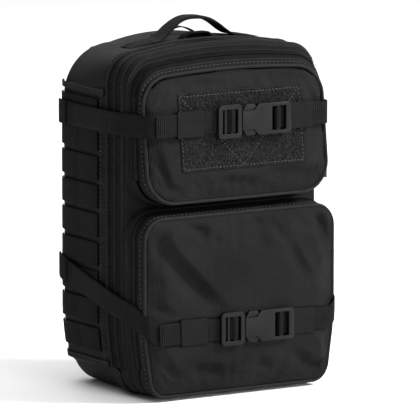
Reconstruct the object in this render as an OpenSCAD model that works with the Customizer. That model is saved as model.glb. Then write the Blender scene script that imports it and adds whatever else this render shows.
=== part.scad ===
// Soft trauma backpack: a rear shell, a front section that folds down on its lower edge,
// two zipped pockets, two compression straps with side release buckles and a harness.
// +Z is up, -Y is the front and the origin is the middle of the body's base.

/* [Body] */
// Half of the body's width
body_half_w = 150; // [130:1:180]
// Height of the body's top corners above the base
body_h = 450; // [400:1:540]
// Front face to back face of the body
body_d = 176; // [160:1:220]
// Rise of the top's middle above its corners
body_crown = 10; // [4:1:16]
// Radius of the lower corners
base_r = 30; // [20:1:36]
// Radius of the upper corners
top_r = 40; // [30:1:60]
// Thickness of a fabric wall with its foam
wall = 3; // [2:0.5:5]

/* [Zips] */
// Main zip's teeth behind the front face
main_zip_set = 24; // [18:1:34]
// Width of one half of the main zip
main_tape_w = 16; // [12:1:16]
// Width of one half of a pocket zip
pocket_tape_w = 8; // [6:1:9]
// Thickness of a zip tape
tape_t = 1.8; // [1.2:0.2:2.4]
// Gap between the two halves of a zip
zip_gap = 0.4; // [0.2:0.1:1]

/* [Pockets] */
// Height of the lower pocket
lower_pocket_h = 240; // [200:1:250]
// Height of the upper pocket's base
upper_pocket_h = 190; // [170:1:210]
// Depth of a pocket's gusset and face
pocket_d = 42; // [36:1:60]
// How far the upper face's top edge leans back
upper_lean = 19; // [0:1:20]
// How far a pocket's face bulges
bulge = 8; // [2:1:12]

/* [Straps] */
// Width of the compression straps
strap_w = 30; // [25:1:38]
// Thickness of the webbing
web_t = 1.6; // [1.2:0.2:2]
// Height of the upper strap's middle
upper_strap_z = 362; // [340:1:370]
// Height of the lower strap's middle at the buckle
lower_strap_z = 90; // [70:1:110]
// Rise of the lower strap from its buckle to its back end
lower_strap_rise = 69; // [0:1:90]

/* [Side webbing] */
// Number of webbing rows on a side
side_rows = 9; // [4:1:9]
// Distance from one row to the next
row_pitch = 38; // [36:1:40]
// Width of a row
row_w = 32; // [25:1:34]
// Distance between two lines of stitches
column_w = 50; // [38:1:56]

/* [Harness] */
// Width of a shoulder strap
shoulder_w = 60; // [45:1:70]
// Thickness of a shoulder strap
shoulder_t = 11; // [8:1:16]
// Middle of a shoulder strap from the middle of the back
shoulder_x = 66; // [50:1:80]
// Thickness of the back pads
pad_t = 12; // [6:1:16]

/* [Buckle] */
// Length of the plug's frame
plug_l = 36; // [30:1:40]
// Length of the socket
socket_l = 76; // [68:1:80]
// Height of the plug's frame
buckle_h = 44; // [40:1:50]

/* [Hidden] */

fabric = "#26272a";
trim = "#1d1e20";
plastic = "#2b2c2e";
lining = "#3a3c40";

front_y = -body_d / 2;
back_y = body_d / 2;
main_zip_y = front_y + main_zip_set;
piping_w = 4;
piping_y = main_zip_y + main_tape_w + 3;
base_seam_z = 35;
top_seam_z = body_h - 52;
far = 1000;

// ---- outlines and sweeps ----

function arc(cx, cz, r, a0, a1, n = 8) =
    [for (i = [0:n]) let (a = a0 + (a1 - a0) * i / n) [cx + r * cos(a), cz + r * sin(a)]];

// A rounded rectangle with a crowned top, as [half width, bottom, top, lower radius, upper radius, crown]
function outline(o, inset = 0) =
    let (h = o[0] - inset, lo = o[1] + inset, hi = o[2] - inset,
         rb = o[3] - inset, rt = o[4] - inset, flat = h - rt)
    concat(
        arc(-h + rb, lo + rb, rb, 180, 270),
        arc(h - rb, lo + rb, rb, 270, 360),
        arc(flat, hi - rt, rt, 0, 90),
        [for (i = [1:7]) let (x = flat * (1 - i / 4)) [x, hi + o[5] * (1 - pow(x / flat, 2))]],
        arc(-flat, hi - rt, rt, 90, 180)
    );

module along_y(y0, y1) {
    translate([0, y1, 0]) rotate([90, 0, 0]) linear_extrude(y1 - y0) children();
}

module along_x(x0, x1) {
    translate([x0, 0, 0]) rotate([90, 0, 90]) linear_extrude(x1 - x0) children();
}

module ring(o, outer, inner) {
    difference() {
        polygon(outline(o, outer));
        polygon(outline(o, inner));
    }
}

module above(z) {
    intersection() {
        children();
        translate([-far / 2, -far / 2, z]) cube(far);
    }
}

module below(z) {
    intersection() {
        children();
        translate([-far / 2, -far / 2, z - far]) cube(far);
    }
}

module mirrored() {
    children();
    mirror([1, 0, 0]) children();
}

function unit(v) = v / norm(v);

// The sweep's section is a flat strip: w wide along `wide`, t thick across it
function strip_ring(path, i, wide, w, t) =
    let (
        n = len(path) - 1,
        before = unit(path[min(i, n - 1) + 1] - path[min(i, n - 1)]),
        after = unit(path[max(i, 1)] - path[max(i, 1) - 1]),
        along = unit(before + after),
        across = unit(cross(along, wide)),
        miter = t / 2 / max(0.5, along * before)
    )
    [for (s = [[-1, -1], [1, -1], [1, 1], [-1, 1]]) path[i] + s[0] * w / 2 * wide + s[1] * miter * across];

module strip(path, wide, w, t) {
    n = len(path);
    rings = [for (i = [0:n - 1]) each strip_ring(path, i, wide, w, t)];
    sides = [for (i = [0:n - 2], k = [0:3])
        let (a = 4 * i + k, b = 4 * i + (k + 1) % 4) each [[a, b + 4, b], [a, a + 4, b + 4]]];
    last = 4 * (n - 1);
    polyhedron(rings, concat([[0, 1, 2, 3]], [[last + 3, last + 2, last + 1, last]], sides));
}

// ---- rear shell ----

body = [body_half_w, 0, body_h, base_r, top_r, body_crown];

function top_z(x) = body_h + body_crown * (1 - pow(x / (body_half_w - top_r), 2));

module back_panel() {
    color(fabric) along_y(back_y - wall, back_y) polygon(outline(body));
}

module body_ring(y0) {
    along_y(y0, back_y - wall) ring(body, 0, wall);
}

module side_panel(side) {
    color(fabric) above(base_seam_z) below(top_seam_z) intersection() {
        body_ring(piping_y);
        translate([side > 0 ? 0 : -far, -far / 2, 0]) cube(far);
    }
}

module top_panel() {
    color(fabric) above(top_seam_z) body_ring(piping_y);
}

module base_panel() {
    color(fabric) below(base_seam_z) body_ring(main_zip_y);
}

module frame_sheet() {
    sheet_t = 1.5;
    color("#15161a") along_y(back_y - wall - sheet_t, back_y - wall)
        polygon(outline(body, wall + 8));
}

module back_foam() {
    sheet_t = 1.5;
    foam_t = 6;
    color(lining) along_y(back_y - wall - sheet_t - foam_t, back_y - wall - sheet_t)
        polygon(outline(body, wall + 8));
}

module hydration_sleeve() {
    // A flat pocket of thin fabric that hangs in front of the foam
    y1 = back_y - wall - 7.5;
    color(lining) along_y(y1 - 1.2, y1) polygon(outline([120, 50, 400, 15, 15, 0]));
}

module main_piping() {
    color(trim) above(base_seam_z) along_y(piping_y - piping_w, piping_y) ring(body, -2, wall);
}

teeth_w = 1.6;

module main_zip_rear() {
    color(trim) above(base_seam_z) {
        along_y(main_zip_y + teeth_w, piping_y - piping_w) ring(body, 0.4, 0.4 + tape_t);
        along_y(main_zip_y, main_zip_y + teeth_w) ring(body, -0.4, wall);
    }
}

module side_webbing() {
    rows_d = 2 * column_w;
    color(trim) mirrored() for (i = [0:side_rows - 1])
        translate([body_half_w, -23, base_seam_z + 18 + i * row_pitch]) cube([2, rows_d, row_w]);
}

handle_y = -17;
handle_w = 30;
handle_rise = 27;
handle_reach = 62;
handle_lift_x = 43.5;

function handle_h(x) = abs(x) < handle_reach ? handle_rise * (0.5 + 0.5 * cos(180 * x / handle_reach)) : 0;
function handle_path(x0, x1, n) =
    [for (i = [0:n]) let (x = x0 + (x1 - x0) * i / n)
        [x, handle_y, top_z(x) + web_t / 2 + 0.4 + handle_h(x)]];

module top_webbing() {
    color(trim) {
        mirrored() strip(handle_path(handle_lift_x, 104, 12), [0, 1, 0], handle_w, web_t);
        // cover of the hose port, in front of the handle
        translate([-6, 0, 0])
            strip([for (i = [0:4]) [0, -34 - 2.5 * i, top_z(0) + 1.2 + 9 * sin(180 * i / 4) * 0.6]],
            [1, 0, 0], 50, 1.4);
        // hanging loop, behind the handle
        strip([for (i = [0:8]) let (x = -24 + 6 * i) [x, 14, top_z(x) + 1.2 + 8 * sin(180 * i / 8)]],
            [0, 1, 0], 12, 1.4);
    }
}

module carry_handle() {
    color(trim) strip(handle_path(-handle_lift_x + 2, handle_lift_x - 2, 16), [0, 1, 0], handle_w, web_t + 1);
}

pad_low = 92;
pad_h = body_h - 60 - pad_low;

module back_pads() {
    color(lining) mirrored() translate([10, back_y, pad_low]) {
        hull() {
            cube([92, 1, pad_h]);
            translate([8, 0, 8]) cube([76, pad_t, pad_h - 16]);
        }
    }
}

// ---- front section ----

front = [body_half_w, 2, body_h, base_r, top_r, body_crown];
front_rim = 8;

module front_panel() {
    color(fabric) {
        along_y(front_y, front_y + wall) polygon(outline(front, 1));
        along_y(front_y + wall, front_y + front_rim) ring(front, 1, 1 + wall);
        below(base_seam_z) along_y(front_y + front_rim, main_zip_y - zip_gap) ring(front, 1, 1 + wall);
    }
}

module main_zip_front() {
    color(trim) above(base_seam_z) {
        along_y(front_y + front_rim, main_zip_y - zip_gap - teeth_w) ring(front, 0.4, 0.4 + tape_t);
        along_y(main_zip_y - zip_gap - teeth_w, main_zip_y - zip_gap) ring(front, -0.4, wall);
    }
}

// ---- pockets ----
// A pocket is [base outline, flap outline, zip y at the bottom, zip y at the top,
// face y at the bottom, lean].

pocket_zip = pocket_d - 22;
lower_z = 6;
upper_z = 256;
lower = [
    [body_half_w - 1, lower_z, lower_z + lower_pocket_h, 30, 36, 0],
    [body_half_w - 3, lower_z, lower_z + lower_pocket_h - 6, 26, 28, 0],
    front_y - pocket_zip, front_y - pocket_zip, front_y - pocket_d, 0
];
upper = [
    [body_half_w - 4, upper_z, upper_z + upper_pocket_h, 40, 40, body_crown - 2],
    [body_half_w - 7, upper_z + 4, upper_z + upper_pocket_h - 22, 40, 40, 4],
    front_y - pocket_zip, front_y - pocket_zip / 2, front_y - pocket_d, upper_lean
];

function zip_y(p, z) = p[2] + (p[3] - p[2]) * (z - p[0][1]) / (p[0][2] - p[0][1]);
function face_y(p, z) = p[4] + p[5] * (z - p[1][1]) / (p[1][2] - p[1][1]);
function lean_angle(p) = atan(p[5] / (p[1][2] - p[1][1]));

// The part of a pocket between its zip's plane plus a and that plane plus b
module zip_slab(p, a, b) {
    lo = p[0][1] - 20;
    hi = p[0][2] + 40;
    intersection() {
        children();
        along_x(-far / 2, far / 2)
            polygon([[zip_y(p, lo) + a, lo], [zip_y(p, lo) + b, lo],
                     [zip_y(p, hi) + b, hi], [zip_y(p, hi) + a, hi]]);
    }
}

module behind_face(p, gap) {
    lo = p[1][1] - 20;
    hi = p[1][2] + 40;
    intersection() {
        children();
        along_x(-far / 2, far / 2)
            polygon([[face_y(p, lo) + gap, lo], [front_y, lo], [front_y, hi], [face_y(p, hi) + gap, hi]]);
    }
}

module on_face(p) {
    translate([0, p[4], p[1][1]]) rotate([-lean_angle(p), 0, 0]) children();
}

function face_outline(p) =
    [p[1][0], 0, (p[1][2] - p[1][1]) / cos(lean_angle(p)), p[1][3], p[1][4], p[1][5]];

module pocket_gusset(p) {
    hem = p[0][1] + 34;
    color(fabric) {
        zip_slab(p, pocket_tape_w, far) along_y(front_y - pocket_zip - 2, front_y) ring(p[0], 0, wall);
        below(hem) zip_slab(p, 0, pocket_tape_w)
            along_y(front_y - pocket_zip - 2, front_y) ring(p[0], 0, wall);
    }
}

module pocket_zip_rear(p) {
    hem = p[0][1] + 34;
    color(trim) above(hem) {
        zip_slab(p, teeth_w, pocket_tape_w) along_y(front_y - far / 4, front_y) ring(p[0], 0.4, 0.4 + tape_t);
        zip_slab(p, 0, teeth_w) along_y(front_y - far / 4, front_y) ring(p[0], 0, wall);
    }
}

module pocket_zip_front(p) {
    hem = p[0][1] + 34;
    color(trim) above(hem) {
        zip_slab(p, -pocket_tape_w, -teeth_w - zip_gap) along_y(front_y - far / 4, front_y)
            ring(p[1], 0.4, 0.4 + tape_t);
        zip_slab(p, -teeth_w - zip_gap, -zip_gap) along_y(front_y - far / 4, front_y) ring(p[1], 0, wall);
    }
}

module pocket_face(p) {
    hem = p[0][1] + 34;
    edge = 3;
    swell = 30;
    color(fabric) {
        behind_face(p, wall + 0.1) zip_slab(p, -far, -pocket_tape_w) along_y(front_y - 80, front_y)
            ring(p[1], 0, wall + 1);
        below(hem) zip_slab(p, -pocket_tape_w, -zip_gap) along_y(front_y - 80, front_y) ring(p[1], 0, wall);
        on_face(p) {
            along_y(0, wall + 3) polygon(outline(face_outline(p), edge));
            hull() {
                along_y(-0.1, 0) polygon(outline(face_outline(p), edge + 6));
                along_y(-bulge, -bulge + 0.1)
                    polygon(outline([p[1][0] - swell, swell, face_outline(p)[2] - swell, 8, 8, 0]));
            }
        }
    }
}

module face_piping(p) {
    color(trim) on_face(p) along_y(-1, wall) ring(face_outline(p), -1.5, 3);
}

module loop_panel() {
    panel_t = 1.6;
    color("#303236") on_face(upper) translate([-97, -bulge - panel_t, 38]) cube([194, panel_t, 103]);
}

// ---- compression straps ----

buckle_x = -39;
upper_strap_y = front_y - pocket_d - 2.4;
lower_strap_y = front_y - pocket_d - bulge - 1.8;
buckle_end_x = buckle_x + plug_l + 1 + socket_l;
side_web_x = body_half_w + 4.4;
strap_back_y = back_y - 8;

function flap_side_x(p) = p[1][0] + 1.5 + 0.5 + web_t / 2;

function upper_side_path() = [
    [side_web_x, strap_back_y, upper_strap_z],
    [side_web_x, main_zip_y - 2, upper_strap_z],
    [flap_side_x(upper) + 1, zip_y(upper, upper_strap_z) - 1, upper_strap_z]
];

function upper_front_path(x_end) = [
    [flap_side_x(upper), zip_y(upper, upper_strap_z) - 2, upper_strap_z],
    [flap_side_x(upper), face_y(upper, upper_strap_z) - 3, upper_strap_z],
    [flap_side_x(upper) - 5, upper_strap_y + 2, upper_strap_z],
    [flap_side_x(upper) - 11.5, upper_strap_y - web_t / 2, upper_strap_z],
    [x_end, upper_strap_y - web_t / 2, upper_strap_z]
];

// Height of the lower strap's middle: level at the buckle, then rising to the back
function lower_z_at(y) =
    lower_strap_z + 15
        + (lower_strap_rise - 15) * max(0, (y - lower_strap_y) / (strap_back_y - lower_strap_y));

function lower_side_path() = [
    for (y = [strap_back_y, 20, main_zip_y - 2, front_y - 4, front_y - pocket_zip + 0.6])
        [y > main_zip_y - 3 ? side_web_x : max(flap_side_x(lower), body_half_w + web_t / 2 + 0.8),
         y, lower_z_at(y)]
];

function lower_front_path(x_end) = [
    [flap_side_x(lower) + 0.6, front_y - pocket_zip - 1, lower_z_at(front_y - pocket_zip)],
    [flap_side_x(lower) + 0.6, front_y - pocket_d, lower_z_at(front_y - pocket_d)],
    [flap_side_x(lower) - 4, lower_strap_y + 1, lower_strap_z + 9],
    [flap_side_x(lower) - 15, lower_strap_y - web_t / 2, lower_strap_z],
    [x_end, lower_strap_y - web_t / 2, lower_strap_z]
];

// The back end of a strap is folded and sewn down through the side webbing
module strap_anchor(z) {
    translate([body_half_w + 2, strap_back_y - 20, z - strap_w / 2 + 1])
        cube([side_web_x - body_half_w - 2, 18, strap_w - 2]);
}

module upper_strap_sides() {
    color(trim) mirrored() {
        strip(upper_side_path(), [0, 0, 1], strap_w, web_t);
        strap_anchor(upper_strap_z);
    }
}

module lower_strap_sides() {
    color(trim) mirrored() {
        strip(lower_side_path(), [0, 0, 1], strap_w, web_t);
        strap_anchor(lower_z_at(strap_back_y - 11));
    }
}

module strap_front(left_path, right_path, y, z) {
    color(trim) {
        mirror([1, 0, 0]) strip(left_path, [0, 0, 1], strap_w, web_t);
        strip(right_path, [0, 0, 1], strap_w, web_t);
        translate([0, y, z]) {
            // webbing round the socket's bar, and its end folded back
            translate([buckle_x + plug_l + 1, 0, 0]) {
                bar_wrap(socket_bar_u);
                translate([socket_bar_u - 1, -2.9, -strap_w / 2 + 1]) cube([bar_w + 2, 1.5, strap_w - 2]);
            }
            translate([buckle_end_x + 0.5, -3.2, -strap_w / 2 + 1]) cube([38, 1.7, strap_w - 2]);
        }
    }
}

module upper_strap_front() {
    strap_front(upper_front_path(-buckle_x - 9), upper_front_path(buckle_end_x - 24),
                upper_strap_y, upper_strap_z);
}

module lower_strap_front() {
    strap_front(lower_front_path(-buckle_x - 9), lower_front_path(buckle_end_x - 24),
                lower_strap_y, lower_strap_z);
}

// ---- side release buckle ----
// Its own frame: x runs from the plug's frame to the socket's end, z is across the strap,
// and y 0 is the surface that the strap lies on. The webbing lies at y 0 to -web_t.

plate_back = -2.4;
cavity_back = -4;
cavity_front = -8.4;
plate_front = -10.2;
rail = 6;
bar_w = 5;
plug_bar_u = 19;
socket_bar_u = 54;

module bar_wrap(u) {
    // A closed turn of webbing round a crossbar
    gap = 0.25;
    translate([u - gap - web_t, 0, 0]) difference() {
        translate([0, -10.2, -strap_w / 2 + 1]) cube([bar_w + 2 * (gap + web_t), 7.6, strap_w - 2]);
        translate([web_t, -8.6, -strap_w]) cube([bar_w + 2 * gap, 4.4, 2 * strap_w]);
    }
}

module rounded_plate(x0, x1, h, r) {
    hull() for (x = [x0 + r, x1 - r], z = [-h / 2 + r, h / 2 - r]) translate([x, z]) circle(r, $fn = 32);
}

module buckle_plug() {
    window = plug_l - 2 * rail;
    color(plastic) {
        difference() {
            along_y(-9.6, -4.1) rounded_plate(0, plug_l, buckle_h, 6);
            translate([rail, -20, -strap_w / 2 - 1]) cube([window, 40, strap_w + 2]);
        }
        translate([plug_bar_u, -8.4, -strap_w / 2 - 1.5]) cube([bar_w, 4, strap_w + 3]);
        translate([rail + 4, -8.4, -strap_w / 2 - 1.5]) cube([3, 3, strap_w + 3]);
        translate([plug_l - 0.5, -7.7, -4]) cube([31, 3, 8]);
    }
}

prong_z = 7;

// One arm, above the middle line, from the plug's frame to its tip
module prong() {
    color(plastic) along_y(-7.9, -4.5) polygon([
        [plug_l + 0.4, prong_z - 1.5], [plug_l + 0.4, prong_z + 2], [plug_l + 4, prong_z + 7],
        [plug_l + 8, buckle_h / 2 - 1.5], [plug_l + 20, buckle_h / 2 - 1.5], [plug_l + 25, prong_z + 9],
        [plug_l + 34, prong_z + 7], [plug_l + 34, prong_z + 3], [plug_l + 24, prong_z + 4],
        [plug_l + 14, prong_z + 5], [plug_l + 6, prong_z + 2]
    ]);
}

// Outline of the socket's plates, in its own frame from its mouth
module socket_plan() {
    neck = 12.5;
    shoulder = buckle_h / 2 - 1.5;
    polygon([
        [0, -neck], [18, -neck], [25, -shoulder], [socket_l - 3, -shoulder], [socket_l, -shoulder + 3],
        [socket_l, shoulder - 3], [socket_l - 3, shoulder], [25, shoulder], [18, neck], [0, neck]
    ]);
}

module buckle_socket() {
    slot_u = socket_bar_u - 8;
    color(plastic) translate([plug_l + 1, 0, 0]) difference() {
        along_y(plate_front, plate_back) socket_plan();
        // cavity for the arms, open at the mouth and at the notches
        translate([-1, cavity_front, -buckle_h]) cube([25.5, cavity_back - cavity_front, 2 * buckle_h]);
        translate([24, cavity_front, -18]) cube([13, cavity_back - cavity_front, 36]);
        // slots on each side of the bar
        translate([slot_u, -20, -strap_w / 2 - 1]) cube([8, 40, strap_w + 2]);
        translate([socket_bar_u + bar_w, -20, -strap_w / 2 - 1]) cube([9, 40, strap_w + 2]);
        translate([slot_u, -20, -strap_w / 2 - 1]) cube([20, 20 + plate_front + 1.6, strap_w + 2]);
        translate([slot_u, cavity_back - 0.2, -strap_w / 2 - 1]) cube([20, 20, strap_w + 2]);
    }
}

tail_len = 94;

module strap_tail() {
    color(trim) {
        bar_wrap(plug_bar_u);
        translate([-tail_len, -4, -strap_w / 2 + 1])
            cube([tail_len + plug_bar_u - 1.5, web_t - 0.2, strap_w - 2]);
    }
}

// Elastic sleeve round the strap and its folded end
module keeper(u0, u1, deep) {
    color("#232427") difference() {
        translate([u0, -deep, -strap_w / 2 - 2]) cube([u1 - u0, deep + 1.2, strap_w + 4]);
        translate([u0 - 1, -deep + 1, -strap_w / 2 - 0.7]) cube([u1 - u0 + 2, deep - 0.8, strap_w + 1.4]);
    }
}

module at_buckle(which) {
    translate([buckle_x, which == "upper" ? upper_strap_y : lower_strap_y,
        which == "upper" ? upper_strap_z : lower_strap_z]) children();
}

module keeper_left() {
    keeper(-60, -20, 5.4);
}

module keeper_right() {
    keeper(plug_l + 1 + socket_l + 2, plug_l + 1 + socket_l + 36, 4.6);
}

// ---- zip sliders ----

slider_h = 14;
pin_x = 4;
pin_z = 1.5;

// Body with its bridge, on the right-hand side of the pack, teeth under its middle
module slider() {
    color("#44464a") {
        translate([0, -4.5, -slider_h / 2]) cube([2.4, 9, slider_h]);
        difference() {
            translate([2.4, -1.5, -5]) cube([3.8, 3, 10]);
            translate([pin_x, -5, pin_z]) rotate([-90, 0, 0]) cylinder(h = 10, r = 1.2, $fn = 24);
        }
    }
}

// Pull with its pin, hanging from the bridge
module slider_pull() {
    color(plastic) translate([pin_x, 0, pin_z]) {
        rotate([90, 0, 0]) translate([0, 0, -3.6]) cylinder(h = 7.2, r = 1.1, $fn = 24);
        for (side = [-1, 1]) translate([-1.1, side * 2.9 - 0.8, -12]) cube([2.2, 1.6, 12]);
        translate([-1.1, -4, -34]) cube([2.4, 8, 22]);
    }
}

slider_gap = 0.9;
function main_slider_at(z) = [body_half_w + slider_gap, main_zip_y - zip_gap / 2, z];
function pocket_slider_at(p, z) = [p[0][0] + slider_gap, zip_y(p, z) - zip_gap / 2, z];
main_up = main_slider_at(266);
main_down = main_slider_at(222);
upper_at = pocket_slider_at(upper, 304);
lower_at = pocket_slider_at(lower, 200);

// ---- harness ----

harness_z = body_h - 22;

function shoulder_path() = [
    [0, back_y + 8, harness_z], [0, back_y + 26, harness_z - 14], [0, back_y + 44, harness_z - 48],
    [0, back_y + 54, harness_z - 100], [0, back_y + 54, harness_z - 160],
    [0, back_y + 44, harness_z - 220], [0, back_y + 32, harness_z - 270]
];

module harness_yoke() {
    color(fabric) translate([-shoulder_x - shoulder_w / 2 - 4, back_y, harness_z - 16])
        cube([2 * shoulder_x + shoulder_w + 8, 2, 30]);
}

module shoulder_straps() {
    color(fabric) mirrored() translate([shoulder_x, 0, 0])
        strip(shoulder_path(), [1, 0, 0], shoulder_w, shoulder_t);
}

lock_at = [shoulder_x, back_y + 28.6, harness_z - 284.5];

module ladder_locks() {
    color(plastic) mirrored() translate(lock_at) rotate([-14, 0, 0]) difference() {
        translate([-17, -2, -12]) cube([34, 4, 26]);
        for (z = [-8, 2]) translate([-13.5, -5, z]) cube([27, 10, 5]);
    }
}

module harness_webbing() {
    color(trim) mirrored() strip([
        lock_at + [0, 3.4, -6], lock_at + [6, 2, -24],
        [shoulder_x + 22, back_y + pad_t + 3.6, pad_low - 14.5],
        [shoulder_x + 34, back_y + 1.4, 44],
        [shoulder_x + 34, back_y + 1.4, 26]
    ], [1, 0, 0], 25, 1.4);
}

sternum_z = harness_z - 118;
sternum_y = back_y + 54 + shoulder_t / 2 + 1;
sternum_scale = 2 / 3;
sternum_l = (plug_l + 1 + socket_l) * sternum_scale;

module at_sternum() {
    translate([sternum_l / 2, sternum_y, sternum_z]) rotate([0, 0, 180]) scale(sternum_scale) children();
}

module sternum_strap() {
    color(trim) for (side = [-1, 1])
        translate([side > 0 ? sternum_l / 2 - 12 * sternum_scale : -shoulder_x - 20,
                   sternum_y - 1, sternum_z - 10])
            cube([shoulder_x + 20 - sternum_l / 2 + 12 * sternum_scale, 1, 20]);
}

// The sternum buckle's plug is moulded in one piece with its arms
module sternum_plug() {
    buckle_plug();
    color(plastic) translate([0.5 - 1, 0, 0]) {
        prong();
        mirror([0, 0, 1]) prong();
    }
}

// ---- the nodes ----

back_panel();
side_panel(-1);  // side_panel_left
side_panel(1);  // side_panel_right
top_panel();
base_panel();
frame_sheet();
back_foam();
hydration_sleeve();
main_piping();
main_zip_rear();
side_webbing();
top_webbing();
carry_handle();
back_pads();
upper_strap_sides();
lower_strap_sides();
harness_webbing();
front_panel();
main_zip_front();
pocket_gusset(upper);  // upper_pocket_gusset
pocket_zip_rear(upper);  // upper_zip_rear
pocket_zip_front(upper);  // upper_zip_front
pocket_face(upper);  // upper_pocket_face
face_piping(upper);  // upper_face_piping
pocket_gusset(lower);  // lower_pocket_gusset
pocket_zip_rear(lower);  // lower_zip_rear
pocket_zip_front(lower);  // lower_zip_front
pocket_face(lower);  // lower_pocket_face
face_piping(lower);  // lower_face_piping
loop_panel();
upper_strap_front();
at_buckle("upper") keeper_right();  // upper_keeper_right
at_buckle("upper") buckle_socket();  // upper_buckle_socket
at_buckle("upper") buckle_plug();  // upper_buckle_plug
at_buckle("upper") strap_tail();  // upper_strap_tail
at_buckle("upper") keeper_left();  // upper_keeper_left
at_buckle("upper") prong();  // upper_prong_top
at_buckle("upper") mirror([0, 0, 1]) prong();  // upper_prong_bottom
lower_strap_front();
at_buckle("lower") keeper_right();  // lower_keeper_right
at_buckle("lower") buckle_socket();  // lower_buckle_socket
at_buckle("lower") buckle_plug();  // lower_buckle_plug
at_buckle("lower") strap_tail();  // lower_strap_tail
at_buckle("lower") keeper_left();  // lower_keeper_left
at_buckle("lower") prong();  // lower_prong_top
at_buckle("lower") mirror([0, 0, 1]) prong();  // lower_prong_bottom
translate(main_up) slider();  // main_slider_up
translate(main_down) slider();  // main_slider_down
translate(upper_at) slider();  // upper_slider
translate(lower_at) slider();  // lower_slider
translate(main_up) slider_pull();  // main_pull_up
translate(main_down) slider_pull();  // main_pull_down
translate(upper_at) slider_pull();  // upper_pull
translate(lower_at) slider_pull();  // lower_pull
harness_yoke();
shoulder_straps();
ladder_locks();
sternum_strap();
at_sternum() buckle_socket();  // sternum_socket
at_sternum() sternum_plug();
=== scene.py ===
# %% [markdown]
# # A trauma backpack in soft nylon
# The pack stands on its base with its pockets towards -Y and its harness towards +Y.
# The rigid frame comes in first. Every fabric piece is then built round it, and most ride on one of its
# bodies.

# %% Bring in the frame
import math

import bpy
import numpy as np
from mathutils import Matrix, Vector, noise
from mathutils.bvhtree import BVHTree


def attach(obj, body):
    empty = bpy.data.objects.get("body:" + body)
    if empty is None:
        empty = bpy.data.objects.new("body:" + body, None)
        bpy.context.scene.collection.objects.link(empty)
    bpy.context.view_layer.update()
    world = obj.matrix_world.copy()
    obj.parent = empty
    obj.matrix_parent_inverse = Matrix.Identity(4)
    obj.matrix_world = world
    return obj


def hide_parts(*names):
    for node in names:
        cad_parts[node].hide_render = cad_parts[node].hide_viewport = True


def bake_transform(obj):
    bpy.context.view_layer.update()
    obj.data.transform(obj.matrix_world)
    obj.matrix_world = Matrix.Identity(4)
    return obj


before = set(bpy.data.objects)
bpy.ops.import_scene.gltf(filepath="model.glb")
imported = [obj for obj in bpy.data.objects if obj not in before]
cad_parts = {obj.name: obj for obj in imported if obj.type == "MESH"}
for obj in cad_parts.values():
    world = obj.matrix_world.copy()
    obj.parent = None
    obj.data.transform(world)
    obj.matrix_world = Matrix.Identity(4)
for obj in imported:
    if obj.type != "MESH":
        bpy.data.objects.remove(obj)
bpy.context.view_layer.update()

mm = 0.001

# %% [markdown]
# ## Camera
# A long lens from far away keeps upright edges almost parallel. The camera stands to the front left of the
# pack and a little above its middle, so that the side webbing and both pockets show.

# %% Camera
def place_camera(azimuth, elevation, target, distance, lens):
    a, e = math.radians(azimuth), math.radians(elevation)
    back = Vector((math.sin(a) * math.cos(e), -math.cos(a) * math.cos(e), math.sin(e)))
    data = bpy.data.cameras.new("camera")
    data.lens = lens
    data.clip_end = 50
    camera = bpy.data.objects.new("camera", data)
    bpy.context.scene.collection.objects.link(camera)
    camera.location = Vector(target) + back * distance
    camera.rotation_mode = "QUATERNION"
    camera.rotation_quaternion = (-back).to_track_quat("-Z", "Y")
    bpy.context.scene.camera = camera


place_camera(azimuth=-33.1, elevation=8.6, target=(0.0397, 0, 0.2231), distance=9.27, lens=600)

# %% [markdown]
# ## Colours and nodes
# Fabric colours are written as sRGB hex values, the way a swatch is labelled, and one function turns them to
# the linear values that shaders work in. One more function adds a shader node, sets it and links it.

# %% Colour and node helpers
def linear(swatch):
    parts = [int(swatch[i:i + 2], 16) / 255 for i in (1, 3, 5)]
    return tuple(p / 12.92 if p <= 0.04045 else ((p + 0.055) / 1.055) ** 2.4 for p in parts) + (1.0,)


def add_node(tree, kind, inputs=None, **settings):
    node = tree.nodes.new(kind)
    for key, value in settings.items():
        setattr(node, key, value)
    for key, value in (inputs or {}).items():
        if isinstance(value, bpy.types.NodeSocket):
            tree.links.new(value, node.inputs[key])
        else:
            node.inputs[key].default_value = value
    return node


def new_material(name, roughness, ior=1.5, metallic=0.0, sheen=0.0, sheen_roughness=0.5, specular=0.5):
    material = bpy.data.materials.new(name)
    material.use_nodes = True
    shader = material.node_tree.nodes["Principled BSDF"]
    shader.inputs["Roughness"].default_value = roughness
    shader.inputs["Metallic"].default_value = metallic
    shader.inputs["IOR"].default_value = ior
    shader.inputs["Sheen Weight"].default_value = sheen
    shader.inputs["Sheen Roughness"].default_value = sheen_roughness
    shader.inputs["Specular IOR Level"].default_value = specular
    return material, material.node_tree, shader


def two_tone(tree, shader, share, dark, light):
    """The base colour goes from the dark swatch to the light one as the share goes from 0 to 1."""
    colour = add_node(tree, "ShaderNodeMix", {"Factor": share, "A": linear(dark), "B": linear(light)},
                      data_type="RGBA")
    tree.links.new(colour.outputs["Result"], shader.inputs["Base Color"])


def relief(tree, shader, height, strength, distance):
    bump = add_node(tree, "ShaderNodeBump", {"Height": height, "Strength": strength, "Distance": distance})
    tree.links.new(bump.outputs["Normal"], shader.inputs["Normal"])


def per_metre(width):
    """The wave texture's scale for bands of that width. They repeat every 0.314 of the scaled length."""
    return 0.314159 / width


# %% [markdown]
# ## Woven nylon
# The pack is textured nylon of about 1000 denier, woven plain and coated inside. Warp and weft threads of
# 0.7 mm cross over and under each other, so three sets of bands, one along each axis, make the weave on
# every face. The threads are drawn 1.8 mm wide, since the real ones are finer than the picture can show.
# A slow noise shifts the tone as handled cloth does, and a second one gives it small ripples.

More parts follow.
